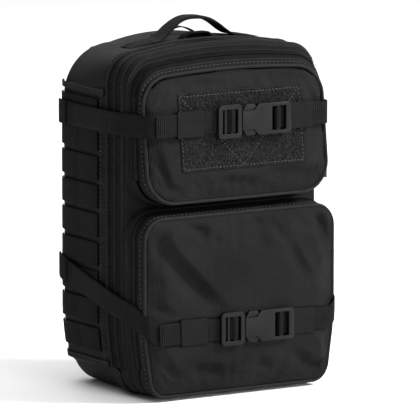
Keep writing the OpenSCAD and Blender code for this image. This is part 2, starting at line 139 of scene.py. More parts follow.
# %% Woven nylon
def woven_nylon(name, dark, light, thread=1.8 * mm, weave=0.00035, ripple=0.0012, roughness=0.62):
    material, tree, shader = new_material(name, roughness, ior=1.53, specular=0.07)
    place = add_node(tree, "ShaderNodeTexCoord").outputs["Object"]
    bands = [
        add_node(tree, "ShaderNodeTexWave", {"Vector": place, "Scale": per_metre(thread), "Distortion": 0.6,
                 "Detail": 1.0, "Detail Scale": 1.5}, bands_direction=axis).outputs["Fac"]
        for axis in "XYZ"
    ]
    two = add_node(tree, "ShaderNodeMath", {0: bands[0], 1: bands[1]}, operation="ADD").outputs[0]
    threads = add_node(tree, "ShaderNodeMath", {0: two, 1: bands[2]}, operation="ADD").outputs[0]
    tone = add_node(tree, "ShaderNodeTexNoise",
                    {"Vector": place, "Scale": 14.0, "Detail": 6.0, "Roughness": 0.62})
    speckle = add_node(tree, "ShaderNodeTexNoise", {"Vector": place, "Scale": 700.0, "Detail": 2.0})
    slow = add_node(tree, "ShaderNodeMapRange",
                    {"Value": tone.outputs["Fac"], "From Min": 0.36, "From Max": 0.66})
    grain = add_node(tree, "ShaderNodeMath", {0: speckle.outputs["Fac"], 1: 0.5}, operation="MULTIPLY")
    share = add_node(tree, "ShaderNodeMath", {0: slow.outputs[0], 1: grain.outputs[0]}, operation="ADD")
    share = add_node(tree, "ShaderNodeMath", {0: share.outputs[0], 1: 0.68}, operation="MULTIPLY",
                     use_clamp=True)
    two_tone(tree, shader, share.outputs[0], dark, light)
    folds = add_node(tree, "ShaderNodeTexNoise",
                     {"Vector": place, "Scale": 38.0, "Detail": 3.0, "Distortion": 0.6})
    soft = add_node(tree, "ShaderNodeBump",
                    {"Height": folds.outputs["Fac"], "Strength": 0.8, "Distance": ripple})
    fine = add_node(tree, "ShaderNodeBump", {"Height": threads, "Strength": 0.7, "Distance": weave,
                    "Normal": soft.outputs["Normal"]})
    tree.links.new(fine.outputs["Normal"], shader.inputs["Normal"])
    return material


pack_nylon = woven_nylon("woven nylon, coated", "#0a0a0a", "#171717")
face_nylon = woven_nylon("woven nylon, pocket faces", "#0a0a0a", "#171717", ripple=0.0006)
lining_nylon = woven_nylon("thin lining nylon", "#1a1b1d", "#2a2b2e", thread=1.2 * mm, weave=0.0002,
                           roughness=0.55)
strap_nylon = woven_nylon("woven nylon, harness", "#161616", "#272727")
spacer_mesh = woven_nylon("knitted spacer mesh", "#131313", "#2a2a2a", thread=3.4 * mm, weave=0.0011,
                          roughness=0.85)

# %% [markdown]
# ## Webbing, tape and elastic
# Webbing is a thick narrow weave: heavy weft ribs cross its width, and its warp shows as columns along it.
# The ribs have to turn with the strap, so they are read from each strip's own map, which is laid out in
# metres: V along the strip and U round its section. Real ribs are 1.1 mm apart. They are drawn at
# 2.2 to 3 mm, and finer on elastic and thread.

# %% Webbing
def ribbed(name, dark, light, rib=2.6 * mm, column=5.5 * mm, depth=0.0007, across="Y"):
    material, tree, shader = new_material(name, 0.72, ior=1.53, specular=0.06)
    flat = add_node(tree, "ShaderNodeTexCoord").outputs["UV"]
    place = add_node(tree, "ShaderNodeTexCoord").outputs["Object"]
    ribs = add_node(tree, "ShaderNodeTexWave", {"Vector": flat, "Scale": per_metre(rib), "Distortion": 0.5,
                    "Detail": 1.0}, bands_direction=across).outputs["Fac"]
    columns = add_node(tree, "ShaderNodeTexWave", {"Vector": flat, "Scale": per_metre(column)},
                       bands_direction="X" if across == "Y" else "Y").outputs["Fac"]
    both = add_node(tree, "ShaderNodeMath", {0: columns, 1: 0.25, 2: ribs},
                    operation="MULTIPLY_ADD").outputs[0]
    tone = add_node(tree, "ShaderNodeTexNoise",
                    {"Vector": place, "Scale": 90.0, "Detail": 4.0}).outputs["Fac"]
    share = add_node(tree, "ShaderNodeMath", {0: both, 1: tone}, operation="MULTIPLY", use_clamp=True)
    two_tone(tree, shader, share.outputs[0], dark, light)
    relief(tree, shader, both, strength=0.8, distance=depth)
    return material


webbing_nylon = ribbed("nylon webbing", "#0a0a0a", "#1b1b1b", rib=3.0 * mm, depth=0.0005)
# The side rows are a darker copy of the webbing: painted shade for the sides, which face away from the key
# light.
shaded_row_nylon = ribbed("nylon webbing, side rows, painted shade", "#060607", "#151617", rib=2.2 * mm, column=8 * mm)
zip_tape = ribbed("woven zip tape", "#040405", "#1c1d1e", rib=2.6 * mm, depth=0.0008, across="X")
binding_tape = ribbed("bound grosgrain edge", "#161616", "#2c2c2c", rib=2.4 * mm, depth=0.0003, across="X")
edge_tape = ribbed("bound grosgrain edge, harness", "#121214", "#2b2c2e", rib=2.4 * mm, depth=0.0003)
elastic_tape = ribbed("ribbed elastic", "#101010", "#1e1e1e", rib=1.5 * mm, column=2.4 * mm, depth=0.0004)
thread_nylon = ribbed("bonded nylon thread", "#3e3e3e", "#666666", rib=0.9 * mm, column=0.9 * mm,
                      depth=0.0001)
dark_thread = ribbed("bonded nylon thread, black", "#171717", "#2e2e2e", rib=0.9 * mm, column=0.9 * mm,
                     depth=0.0001)

# %% [markdown]
# ## Loop pile
# The panel on the upper pocket is the loop half of a hook-and-loop fastener, brushed into a felted pile of
# tiny loops. Cell noise gives the clumps, and a finer noise the single loops.

# %% Loop pile
def loop_pile(name, dark, light):
    material, tree, shader = new_material(name, 0.95, ior=1.5, sheen=0.02, sheen_roughness=0.6, specular=0.06)
    place = add_node(tree, "ShaderNodeTexCoord").outputs["Object"]
    clumps = add_node(tree, "ShaderNodeTexNoise", {"Vector": place, "Scale": 170.0, "Detail": 6.0,
                      "Roughness": 0.75, "Distortion": 1.4}).outputs["Fac"]
    loops = add_node(tree, "ShaderNodeTexVoronoi", {"Vector": place, "Scale": 520.0}).outputs["Distance"]
    height = add_node(tree, "ShaderNodeMath", {0: loops, 1: -0.5, 2: clumps},
                      operation="MULTIPLY_ADD").outputs[0]
    spread = add_node(tree, "ShaderNodeMapRange", {"Value": height, "From Min": 0.12, "From Max": 0.5})
    two_tone(tree, shader, spread.outputs[0], dark, light)
    relief(tree, shader, height, strength=1.0, distance=0.0022)
    return material


pile_nylon = loop_pile("brushed loop pile", "#080808", "#282828")

# %% [markdown]
# ## Moulded acetal and coated zinc
# Buckles are injection moulded acetal: satin, with a very fine spark-eroded grain and slightly shinier
# edges where straps rub. Zip sliders are zinc castings with a black coat.

# %% Hard finishes
def moulded(name, dark, light, roughness, metallic=0.0, grain=0.00006):
    material, tree, shader = new_material(name, roughness, ior=1.48, metallic=metallic, specular=0.16)
    place = add_node(tree, "ShaderNodeTexCoord").outputs["Object"]
    marks = add_node(tree, "ShaderNodeTexNoise",
                     {"Vector": place, "Scale": 120.0, "Detail": 5.0}).outputs["Fac"]
    two_tone(tree, shader, marks, dark, light)
    rub = add_node(tree, "ShaderNodeMapRange",
                   {"Value": marks, "To Min": roughness - 0.1, "To Max": roughness + 0.12})
    tree.links.new(rub.outputs[0], shader.inputs["Roughness"])
    fine = add_node(tree, "ShaderNodeTexNoise",
                    {"Vector": place, "Scale": 1600.0, "Detail": 2.0}).outputs["Fac"]
    relief(tree, shader, fine, strength=0.5, distance=grain)
    return material


buckle_acetal = moulded("moulded acetal, buckles", "#0a0a0a", "#131313", 0.45)
pull_acetal = moulded("moulded pull", "#1a1b1d", "#2d2e31", 0.5)
frame_plastic = moulded("moulded frame sheet", "#141416", "#222326", 0.55)
slider_zinc = moulded("black coated zinc", "#1a1b1c", "#333436", 0.35, metallic=0.35)

# %% [markdown]
# ## Mesh helpers
# Cloth is cut from a grid and moved to its place row by row, as a pattern piece is laid on a form. The grid
# keeps its map, stretched to metres, so woven ribs follow the piece. A thickness is then added inwards.

# %% Selecting and finishing
def nothing_selected():
    if bpy.context.mode != "OBJECT":
        bpy.ops.object.mode_set(mode="OBJECT")
    bpy.ops.object.select_all(action="DESELECT")


def only(piece):
    nothing_selected()
    piece.select_set(True)
    bpy.context.view_layer.objects.active = piece


def apply_modifiers(piece):
    only(piece)
    for modifier in list(piece.modifiers):
        bpy.ops.object.modifier_apply(modifier=modifier.name)
    return piece


def points_of(piece):
    co = np.zeros(len(piece.data.vertices) * 3, np.float32)
    piece.data.vertices.foreach_get("co", co)
    return co.reshape(-1, 3).astype(float)


def move_points(piece, co):
    piece.data.vertices.foreach_set("co", np.asarray(co, np.float32).ravel())
    piece.data.update()


def weld(piece, outwards=False, fill=False):
    only(piece)
    bpy.ops.object.mode_set(mode="EDIT")
    bpy.ops.mesh.select_all(action="SELECT")
    bpy.ops.mesh.remove_doubles(threshold=0.00002)
    if fill:
        bpy.ops.mesh.fill_holes(sides=0)
    if outwards:
        bpy.ops.mesh.select_all(action="SELECT")
        bpy.ops.mesh.normals_make_consistent(inside=False)
    bpy.ops.object.mode_set(mode="OBJECT")


def smooth(piece, angle=40):
    only(piece)
    bpy.ops.object.shade_smooth_by_angle(angle=math.radians(angle))


def settle(co):
    """The loaded bag draws in towards its foot, and its base is a little narrower than its sides."""
    x, y, z = co[:, 0].copy(), co[:, 1], co[:, 2]
    own = ease((0.0875 - y) / 0.006)
    draw = 0.068 * ease((0.105 - z) / 0.105) + 0.045 * ease((0.0345 - z) / 0.006) * ease((y + 0.046) / 0.010)
    out = co.copy()
    out[:, 0] = x * (1 - draw * own)
    return out


def finish_piece(piece, material, body, replaces=(), angle=40, soft=True):
    if soft:
        move_points(piece, settle(points_of(piece)))
    piece.data.materials.clear()
    piece.data.materials.append(material)
    smooth(piece, angle)
    if body:
        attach(piece, body)
    if replaces:
        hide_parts(*replaces)
    return piece


# %% Laying a grid on a form
def lay_grid(name, rows, round_u=False, thick=0.0, fill=False):
    """rows[v][u] are the points. Faces look outwards where u runs anticlockwise and v runs to -Y."""
    rows = np.asarray(rows, float)
    count_v, count_u = rows.shape[:2]
    nothing_selected()
    bpy.ops.mesh.primitive_grid_add(x_subdivisions=count_u - 1, y_subdivisions=count_v - 1, size=1)
    piece = bpy.context.active_object
    piece.name = piece.data.name = name
    move_points(piece, rows.reshape(-1, 3))
    length_u = np.linalg.norm(np.diff(rows, axis=1), axis=2).sum(1).mean()
    length_v = np.linalg.norm(np.diff(rows, axis=0), axis=2).sum(0).mean()
    layer = piece.data.uv_layers.active.data
    uv = np.zeros(len(layer) * 2, np.float32)
    layer.foreach_get("uv", uv)
    uv = uv.reshape(-1, 2) * (length_u, length_v)
    layer.foreach_set("uv", uv.astype(np.float32).ravel())
    if round_u or fill:
        weld(piece, outwards=fill, fill=fill)
    if thick:
        wall = piece.modifiers.new("wall", "SOLIDIFY")
        wall.thickness = thick
        wall.offset = -1
        apply_modifiers(piece)
    return piece


# %% [markdown]
# ## Outlines and paths
# Every panel of the pack is a rounded rectangle with a crowned top, so one function gives its outline with
# evenly spaced points, and another the same outline from one zip end, over the top, to the other zip end.

# %% Outlines
def outline(half, low, high, r_low, r_high, crown):
    def arc(cx, cz, r, a0, a1):
        return [(cx + r * math.cos(math.radians(a)), cz + r * math.sin(math.radians(a)))
                for a in np.linspace(a0, a1, 13)]

    flat = half - r_high
    top = [(x, high + crown * (1 - (x / flat) ** 2)) for x in np.linspace(flat, -flat, 25)]
    points = [(0, low)] + arc(half - r_low, low + r_low, r_low, 270, 360)
    points += arc(flat, high - r_high, r_high, 0, 90) + top + arc(-flat, high - r_high, r_high, 90, 180)
    points += arc(-half + r_low, low + r_low, r_low, 180, 270)
    return np.array(points + [(0, low)])


def even(points, count):
    points = np.asarray(points, float)
    steps = np.linalg.norm(np.diff(points, axis=0), axis=1)
    keep = np.concatenate([[True], steps > 1e-9])
    points = points[keep]
    along = np.concatenate([[0], np.cumsum(np.linalg.norm(np.diff(points, axis=0), axis=1))])
    at = np.linspace(0, along[-1], count)
    return np.stack([np.interp(at, along, points[:, k]) for k in range(points.shape[1])], 1)


def shape(params, count, cut=None):
    """Evenly spaced (x, z) points of an outline. With a cut height, only the part above it."""
    points = even(outline(*params), 900)
    if cut is not None:
        points = points[points[:, 1] >= cut]
    return even(points, count)


def outward(points, is_round):
    ahead = np.roll(points, -1, 0) - np.roll(points, 1, 0)
    if is_round:
        ahead[0] = ahead[-1] = points[1] - points[-2]
    else:
        ahead[0], ahead[-1] = points[1] - points[0], points[-1] - points[-2]
    ahead /= np.linalg.norm(ahead, axis=1)[:, None]
    return np.stack([ahead[:, 1], -ahead[:, 0]], 1)


def ease(t):
    t = np.clip(t, 0, 1)
    return t * t * (3 - 2 * t)


def rounded_path(points, count, passes=3):
    points = np.asarray(points, float)
    for _ in range(passes):
        a, b = points[:-1], points[1:]
        inner = np.stack([a * 0.75 + b * 0.25, a * 0.25 + b * 0.75], 1).reshape(-1, points.shape[1])
        points = np.concatenate([points[:1], inner[1:-1], points[-1:]])
    return even(points, count)


# %% [markdown]
# ## Bands round an outline
# Zip tapes, gussets and the pocket walls are all bands between two outlines. Each is puffed out a little
# between its seams, because cloth under tension from both sides never lies dead flat.

# %% Bands
def at_depth(y, z):
    return y(z) if callable(y) else np.full(len(z), float(y))


def band_rows(back, front, puff, steps, count, cut=None, ripple=0.0, seed=0.0):
    """back and front are (outline, y). Rows run from the back outline to the front one."""
    (shape_a, y_a), (shape_b, y_b) = back, front
    a, b = shape(shape_a, count, cut), shape(shape_b, count, cut)
    rows = []
    for s in np.linspace(0, 1, steps):
        p = a * (1 - s) + b * s
        swell = puff * math.sin(math.pi * s)
        y = at_depth(y_a, p[:, 1]) * (1 - s) + at_depth(y_b, p[:, 1]) * s
        if ripple:
            edge = math.sin(math.pi * s)
            swell = swell + ripple * edge * np.array(
                [noise.noise((q[0] * 34 + seed, v * 60, q[1] * 34)) for q, v in zip(p, y)])
            swell = swell[:, None]
        p = p + outward(p, cut is None) * swell
        rows.append(np.stack([p[:, 0], y, p[:, 1]], 1))
    return rows


def band(name, back, front, puff=0.0, thick=1.2 * mm, steps=5, count=260, cut=None, ripple=0.0, seed=0.0):
    rows = band_rows(back, front, puff, steps, count, cut, ripple, seed)
    return lay_grid(name, rows, round_u=cut is None, thick=thick)


# %% [markdown]
# ## Strips of webbing
# A strap is swept from a thin section with rounded selvedges. It is given a direction for its width, which
# stays the same all the way, as a strap's width does where it is laid flat round a pack.

# %% Strips
def strip(name, path, wide, width, thick, count=60, passes=3):
    path = rounded_path(path, count, passes) if passes else np.asarray(path, float)
    wide = np.asarray(wide, float) / np.linalg.norm(wide)
    ahead = np.gradient(path, axis=0)
    ahead /= np.linalg.norm(ahead, axis=1)[:, None]
    across = np.cross(ahead, wide)
    across /= np.linalg.norm(across, axis=1)[:, None]
    section = []
    for side in (-1, 1):
        for a in np.linspace(-80, 80, 5):
            section.append((side * (width / 2 - thick / 2 + thick / 2 * math.cos(math.radians(a))),
                            side * thick / 2 * math.sin(math.radians(a))))
    inner = np.linspace(-0.8, 0.8, 5) * (width / 2 - thick)
    section = section[:5] + [(-w, thick / 2) for w in inner] + section[5:] + [(w, -thick / 2) for w in inner]
    section = np.array(sorted(section, key=lambda s: math.atan2(s[1] / thick, s[0] / width)))
    rows = []
    for i, p in enumerate(path):
        ring = p + section[:, :1] * wide + section[:, 1:] * across[i]
        rows.append(np.concatenate([ring, ring[:1]]))
    return lay_grid(name, rows, fill=True)


# %% [markdown]
# ## Repeated small parts
# A stitch or a zip tooth is modelled once. Its mesh is then set down at each place along a seam, turned to
# the seam's direction and to the surface's normal, and all of them make one piece.

# %% Stitches and teeth
def template(kind, size):
    nothing_selected()
    if kind == "stitch":
        bpy.ops.mesh.primitive_uv_sphere_add(segments=6, ring_count=4, radius=0.5)
        bpy.ops.object.mode_set(mode="EDIT")
        bpy.ops.transform.rotate(value=math.pi / 2, orient_axis="Y", center_override=(0, 0, 0))
        bpy.ops.transform.resize(value=size, center_override=(0, 0, 0))
    else:
        bpy.ops.mesh.primitive_cube_add(size=1)
        bpy.ops.object.mode_set(mode="EDIT")
        bpy.ops.transform.resize(value=size, center_override=(0, 0, 0))
        bpy.ops.mesh.bevel(offset=min(size) * 0.3, segments=1)
    bpy.ops.object.mode_set(mode="OBJECT")
    piece = bpy.context.active_object
    co = points_of(piece)
    faces = [tuple(p.vertices) for p in piece.data.polygons]
    bpy.data.objects.remove(piece)
    return co, faces


stitch_form = template("stitch", (3.2 * mm, 1.1 * mm, 0.9 * mm))
tooth_form = template("tooth", (1.3 * mm, 3.0 * mm, 1.2 * mm))


def set_down(name, form, runs, pitch):
    """runs are (path, normals): one copy of the form for each pitch along each path."""
    co, faces = form
    verts, polys = [], []
    for path, normals in runs:
        path = np.asarray(path, float)
        normals = np.broadcast_to(np.asarray(normals, float), path.shape)
        length = np.linalg.norm(np.diff(path, axis=0), axis=1).sum()
        count = max(2, int(length / pitch))
        both = even_pair(path, normals, count + 1)
        middles = (both[0][:-1] + both[0][1:]) / 2
        ahead = np.diff(both[0], axis=0)
        ahead /= np.linalg.norm(ahead, axis=1)[:, None]
        up = (both[1][:-1] + both[1][1:]) / 2
        up -= (up * ahead).sum(1)[:, None] * ahead
        up /= np.linalg.norm(up, axis=1)[:, None]
        side = np.cross(up, ahead)
        for m, a, s, u in zip(middles, ahead, side, up):
            base = len(verts) * len(co)
            verts.append(m + co[:, :1] * a + co[:, 1:2] * s + co[:, 2:] * u)
            polys.extend(tuple(base + i for i in f) for f in faces)
    mesh = bpy.data.meshes.new(name)
    mesh.from_pydata(np.concatenate(verts).tolist(), [], polys)
    mesh.uv_layers.new(name="UVMap")
    piece = bpy.data.objects.new(name, mesh)
    bpy.context.scene.collection.objects.link(piece)
    return piece


def even_pair(path, normals, count):
    along = np.concatenate([[0], np.cumsum(np.linalg.norm(np.diff(path, axis=0), axis=1))])
    at = np.linspace(0, along[-1], count)
    take = lambda values: np.stack([np.interp(at, along, values[:, k]) for k in range(3)], 1)
    return take(path), take(normals)


def seam_run(params, y, proud, cut=None, count=400):
    """A path round an outline at depth y, and its outward normals."""
    p = shape(params, count, cut)
    n = outward(p, cut is None)
    p = p + n * proud
    return np.stack([p[:, 0], at_depth(y, p[:, 1]), p[:, 1]], 1), np.stack([n[:, 0], 0 * n[:, 0], n[:, 1]], 1)

# %% [markdown]
# ## The bag's rear shell
# On the real pack the back, sides, top and base are sewn into one bag. Here they are one lofted sheet: rings
# of the outline run from the back to the zip, the back edge is turned over a wide radius, and the sheet
# sags a little between its seams. Below the zip's ends the cloth carries on to the fold line in the base.

# %% Rear shell
zip_end = 0.036
main_zip = -0.064
turn_r = 0.027
turn_y = 0.0595


def inset_by(params, d):
    half, low, high, r_low, r_high, crown = params
    radii = max(r_low - d, 0.003), max(r_high - d, 0.003)
    return (half - d, low + d, high - d, *radii, crown * max(0.0, 1 - d / 0.12))


def shell_shape(t):
    return 0.150 - 0.004 * t, 0.0, 0.450 - 0.001 * t, 0.030 + 0.012 * t, 0.040 + 0.028 * t, 0.010


def side_x(y):
    """How far the shell's side stands from the middle at depth y."""
    x = 0.150 - 0.004 * min(1, max(0, (y + 0.0445) / 0.104))
    if y > turn_y:
        x -= turn_r * (1 - math.cos(math.asin(min(1, (y - turn_y) / turn_r))))
    return x


def closed_to_line(points):
    return np.stack([0 * points[:, 0], points[:, 1]], 1)


def shell_rows(count=430):
    rows = []
    for inset in (0.146, 0.118, 0.092, 0.068, 0.048, 0.036):
        p = shape(inset_by(shell_shape(1), inset if inset < 0.14 else 0.125), count)
        p = closed_to_line(p) if inset > 0.14 else p
        sag = 0.0012 * math.sin(inset * 60)
        rows.append(np.stack([p[:, 0], np.full(count, turn_y + turn_r - sag), p[:, 1]], 1))
    for a in np.radians(np.linspace(90, 12, 7)):
        p = shape(inset_by(shell_shape(1), turn_r * (1 - math.cos(a))), count)
        rows.append(np.stack([p[:, 0], np.full(count, turn_y + turn_r * math.sin(a)), p[:, 1]], 1))
    for t in np.linspace(1, 0, 26):
        p = shape(shell_shape(t), count)
        zip_side = -0.0450 - 0.0188 * (1 - ease((p[:, 1] - 0.033) / 0.004))
        y = zip_side + t * (turn_y - zip_side)
        calm = np.where((np.abs(p[:, 0]) > 0.12) & (p[:, 1] < 0.395), 0.12, 1.0)
        swell = np.array([noise.noise((q[0] * 16, d * 20, q[1] * 16)) for q, d in zip(p, y)]) * 0.0022
        pillow = 0.0012 * math.sin(math.pi * t)
        p = p + outward(p, True) * ((swell + pillow) * calm)[:, None]
        rows.append(np.stack([p[:, 0], y, np.maximum(p[:, 1], 0.0004)], 1))
    return rows


bag = lay_grid("bag_shell", shell_rows(), round_u=True, thick=2.2 * mm)
finish_piece(bag, pack_nylon, "rear_shell",
             ("back_panel", "side_panel_left", "side_panel_right", "top_panel", "base_panel"))
print("bag shell", len(bag.data.polygons), "faces")

# %% [markdown]
# ## The main zip
# A coil zip is two woven tapes with a spiral of nylon sewn along each. The tapes are narrow bands that
# follow the pack's outline from one end stop to the other, and each has its own row of teeth, so the two
# halves can part. A piping bead covers the seam where the rear tape meets the shell.

# %% Tapes, teeth and piping
def tube(name, params, y, radius, cut=None, count=300, sides=8):
    p = shape(params, count, cut)
    n = outward(p, cut is None)
    depth = at_depth(y, p[:, 1])
    rows = []
    for a in np.linspace(0, 2 * math.pi, sides + 1):
        q = p + n * radius * math.cos(a)
        rows.append(np.stack([q[:, 0], depth - radius * math.sin(a), q[:, 1]], 1))
    piece = lay_grid(name, rows)
    weld(piece, outwards=True, fill=cut is not None)
    return piece


rear_edge = shell_shape(0)
front_edge = (0.1495, 0.002, 0.450, 0.030, 0.040, 0.010)
zip_face = inset_by(rear_edge, 0.0006)

rear_tape = band("main_zip_rear_tape", (zip_face, -0.0480), (zip_face, -0.0639), 0.0006, 1.3 * mm,
                 cut=zip_end)
finish_piece(rear_tape, zip_tape, "rear_shell", ("main_zip_rear",))
front_tape = band("main_zip_front_tape", (zip_face, -0.0641), (inset_by(front_edge, 0.0008), -0.0815), 0.0006,
                  1.3 * mm, cut=zip_end)
finish_piece(front_tape, zip_tape, "front_section", ("main_zip_front",))

tooth_pitch = 2.3 * mm
rear_teeth = set_down("main_zip_rear_teeth", tooth_form,
                      [seam_run(zip_face, main_zip + 0.0015, 0.0006, zip_end)], tooth_pitch)
finish_piece(rear_teeth, buckle_acetal, "rear_shell")
front_teeth = set_down("main_zip_front_teeth", tooth_form,
                       [seam_run(zip_face, main_zip - 0.0017, 0.0006, zip_end)], tooth_pitch)
finish_piece(front_teeth, buckle_acetal, "front_section")

binding = tube("main_binding", inset_by(rear_edge, -0.0002), -0.0462, 0.0021, cut=zip_end)
finish_piece(binding, binding_tape, "rear_shell", ("main_piping",))
front_binding = tube("front_binding", inset_by(front_edge, 0.0004), -0.0808, 0.0017, cut=zip_end)
finish_piece(front_binding, binding_tape, "front_section")

# %% [markdown]
# ## The front section
# The front section is a shallow tray of the same nylon. Its edge is turned over a small radius to the flat
# panel that the two pockets are sewn to, and it is closed in the middle so that it is one sheet.

# %% Front section
front_y = -0.088


def tray_rows(count=430):
    rows = []
    for step, back in ((0, 1.0), (1, 0.5), (2, 0.0)):
        p = shape(front_edge, count)
        above = ease((p[:, 1] - 0.033) / 0.004)
        start = -0.0648 - 0.0142 * above
        rows.append(np.stack([p[:, 0], start * back + (-0.0822) * (1 - back), p[:, 1]], 1))
    for a in np.radians(np.linspace(15, 90, 6)):
        p = shape(inset_by(front_edge, 0.0058 * (1 - math.cos(a))), count)
        rows.append(np.stack([p[:, 0], np.full(count, -0.0822 - 0.0058 * math.sin(a)), p[:, 1]], 1))
    for inset in (0.012, 0.024, 0.045, 0.075, 0.105, 0.13):
        p = shape(inset_by(front_edge, min(inset, 0.125)), count)
        p = closed_to_line(p) if inset > 0.126 else p
        rows.append(np.stack([p[:, 0], np.full(count, front_y), p[:, 1]], 1))
    return rows


tray = lay_grid("front_tray", tray_rows(), round_u=True, thick=2.0 * mm)
finish_piece(tray, pack_nylon, "front_section", ("front_panel",))
print("front tray", len(tray.data.polygons), "faces")

# %% [markdown]
# ## The fold in the base
# Where the main zip stops, the cloth runs on across the base, and the front section hinges on it. A short
# band of lining lies inside the seam, below the zip's ends.

# %% Folds
def low_run(params, count, cut):
    """The part of an outline below a height, from its left end round the bottom to its right end."""
    points = even(outline(*params), 900)[:-1]
    left = points[(points[:, 0] < 0) & (points[:, 1] <= cut)]
    right = points[(points[:, 0] >= 0) & (points[:, 1] <= cut)]
    left = left[np.argsort(np.unwrap(np.arctan2(left[:, 1] - cut, left[:, 0])))]
    right = right[np.argsort(np.arctan2(right[:, 1] - cut, right[:, 0]))]
    return even(np.concatenate([left, right]), count)


def fold(name, params, y_back, y_front, cut, material):
    rows = []
    for y in np.linspace(y_back, y_front, 7):
        p = low_run(params, 160, cut)
        rows.append(np.stack([p[:, 0], np.full(len(p), y), p[:, 1]], 1))
    piece = lay_grid(name, rows, thick=1.0 * mm)
    finish_piece(piece, material, None)
    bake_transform(piece)
    return piece


fold("base_fold", inset_by(rear_edge, 0.0035), -0.060, -0.069, zip_end,
     lining_nylon)

# %% [markdown]
# ## Pockets
# Each pocket has a gusset on the front section, a coil zip, a side wall and a padded face. The upper
# pocket's face leans back, so its zip and its wall get wider towards the bottom.

# %% Pocket sizes
def between(a, b, s):
    return tuple(x * (1 - s) + y * s for x, y in zip(a, b))


def pocket(name, base, lid, zip_low, zip_high, face_low, lean):
    span = base[2] - base[1]
    height = lid[2] - lid[1]
    return {
        "name": name, "base": base, "lid": lid,
        "middle": between(base, lid, 0.4),
        "zip": lambda z: zip_low + (zip_high - zip_low) * (z - base[1]) / span,
        "face": lambda z: face_low + lean * (z - lid[1]) / height,
        "angle": math.atan(lean / height), "low": lid[1], "face_low": face_low,
        "height": height / math.cos(math.atan(lean / height)), "hem": base[1] + 0.034,
    }


lower = pocket("lower", base=(0.149, 0.006, 0.2495, 0.026, 0.036, 0.0),
               lid=(0.1465, 0.0065, 0.240, 0.022, 0.028, 0.0),
               zip_low=-0.108, zip_high=-0.108, face_low=-0.130, lean=0.0)
upper = pocket("upper", base=(0.146, 0.2555, 0.446, 0.040, 0.040, 0.008),
               lid=(0.1395, 0.260, 0.424, 0.040, 0.040, 0.004),
               zip_low=-0.108, zip_high=-0.098, face_low=-0.130, lean=0.019)


def on_face(p, x, depth, h):
    """A point given in the face's own plane: depth is minus outwards, and h runs up the face."""
    c, s = math.cos(p["angle"]), math.sin(p["angle"])
    return np.stack([x + 0 * h, p["face_low"] + depth * c + h * s, p["low"] + h * c - depth * s], -1)


# %% Gussets, zips and walls
def hem_shift(p, z, above, below):
    return below + (above - below) * ease((z - p["hem"]) / 0.004)


def pocket_sides(p):
    name, zip_y, face_y = p["name"], p["zip"], p["face"]
    flap = name + "_flap"
    near = between(p["base"], p["middle"], 0.6)
    far = between(p["middle"], p["lid"], 0.4)
    made = [
        (band(name + "_gusset", (p["base"], front_y - 0.0002),
              (near, lambda z: zip_y(z) + hem_shift(p, z, 0.0082, 0.0004)), 0.0016, 1.6 * mm, steps=8,
              ripple=0.0012),
         pack_nylon, "front_section", "pack_fabric", (name + "_pocket_gusset",)),
        (band(name + "_zip_rear_tape", (inset_by(near, 0.0006), lambda z: zip_y(z) + 0.0086),
              (p["middle"], lambda z: zip_y(z) + 0.0001), 0.0004, 1.2 * mm, cut=p["hem"]),
         zip_tape, "front_section", "zip_tape", (name + "_zip_rear",)),
        (band(name + "_zip_front_tape", (p["middle"], lambda z: zip_y(z) - 0.0001),
              (inset_by(far, 0.0006), lambda z: zip_y(z) - 0.0086), 0.0004, 1.2 * mm, cut=p["hem"]),
         zip_tape, flap, "zip_tape", (name + "_zip_front",)),
        (band(name + "_wall", (far, lambda z: zip_y(z) - hem_shift(p, z, 0.0080, 0.0009)),
              (p["lid"], lambda z: face_y(z) + 0.0012), 0.0014, 1.8 * mm, steps=8, ripple=0.0010, seed=5.0),
         face_nylon, flap, "pack_fabric", ()),
        (tube(name + "_face_binding", inset_by(p["lid"], -0.0002), lambda z: face_y(z) - 0.0010, 0.0024),
         binding_tape, flap, "piping", (name + "_face_piping",)),
        (tube(name + "_wall_seam", inset_by(far, 0.0002), lambda z: zip_y(z) - 0.0086, 0.0009, cut=p["hem"]),
         binding_tape, flap, "piping", ()),
        (tube(name + "_gusset_seam", inset_by(near, 0.0002), lambda z: zip_y(z) + 0.0088, 0.0009,
              cut=p["hem"]),
         binding_tape, "front_section", "piping", ()),
        (tube(name + "_base_seam", inset_by(p["base"], -0.0004), front_y - 0.0004, 0.0012),
         binding_tape, "front_section", "piping", ()),
        (set_down(name + "_zip_rear_teeth", tooth_form,
                  [seam_run(p["middle"], lambda z: zip_y(z) + 0.0015, 0.0006, p["hem"])],
                  tooth_pitch), buckle_acetal, "front_section", "buckle_plastic", ()),
        (set_down(name + "_zip_front_teeth", tooth_form,
                  [seam_run(p["middle"], lambda z: zip_y(z) - 0.0015, 0.0006, p["hem"])],
                  tooth_pitch), buckle_acetal, flap, "buckle_plastic", ()),
    ]
    for piece, material, body, slot, nodes in made:
        finish_piece(piece, material, body, nodes)
    fold(name + "_fold", inset_by(between(p["base"], p["lid"], 0.5), 0.0032), -0.1050, -0.1115, p["hem"],
         lining_nylon)


pocket_sides(lower)
pocket_sides(upper)
print("pocket sides made")

# %% [markdown]
# ## Padded faces
# A pocket's face is nylon over thin foam, sewn into the piping all round and tight nowhere else. It starts
# as a closed, slightly small pillow, is remeshed evenly, and is then blown up as cloth with its edge held.
# The sewn edge keeps its place, the middle swells and buckles, and no point may move further than the cap.

# %% Cloth simulation
def remesh_piece(piece, voxel):
    only(piece)
    remesh = piece.modifiers.new("even mesh", "REMESH")
    remesh.mode = "VOXEL"
    remesh.voxel_size = voxel
    bpy.ops.object.modifier_apply(modifier=remesh.name)


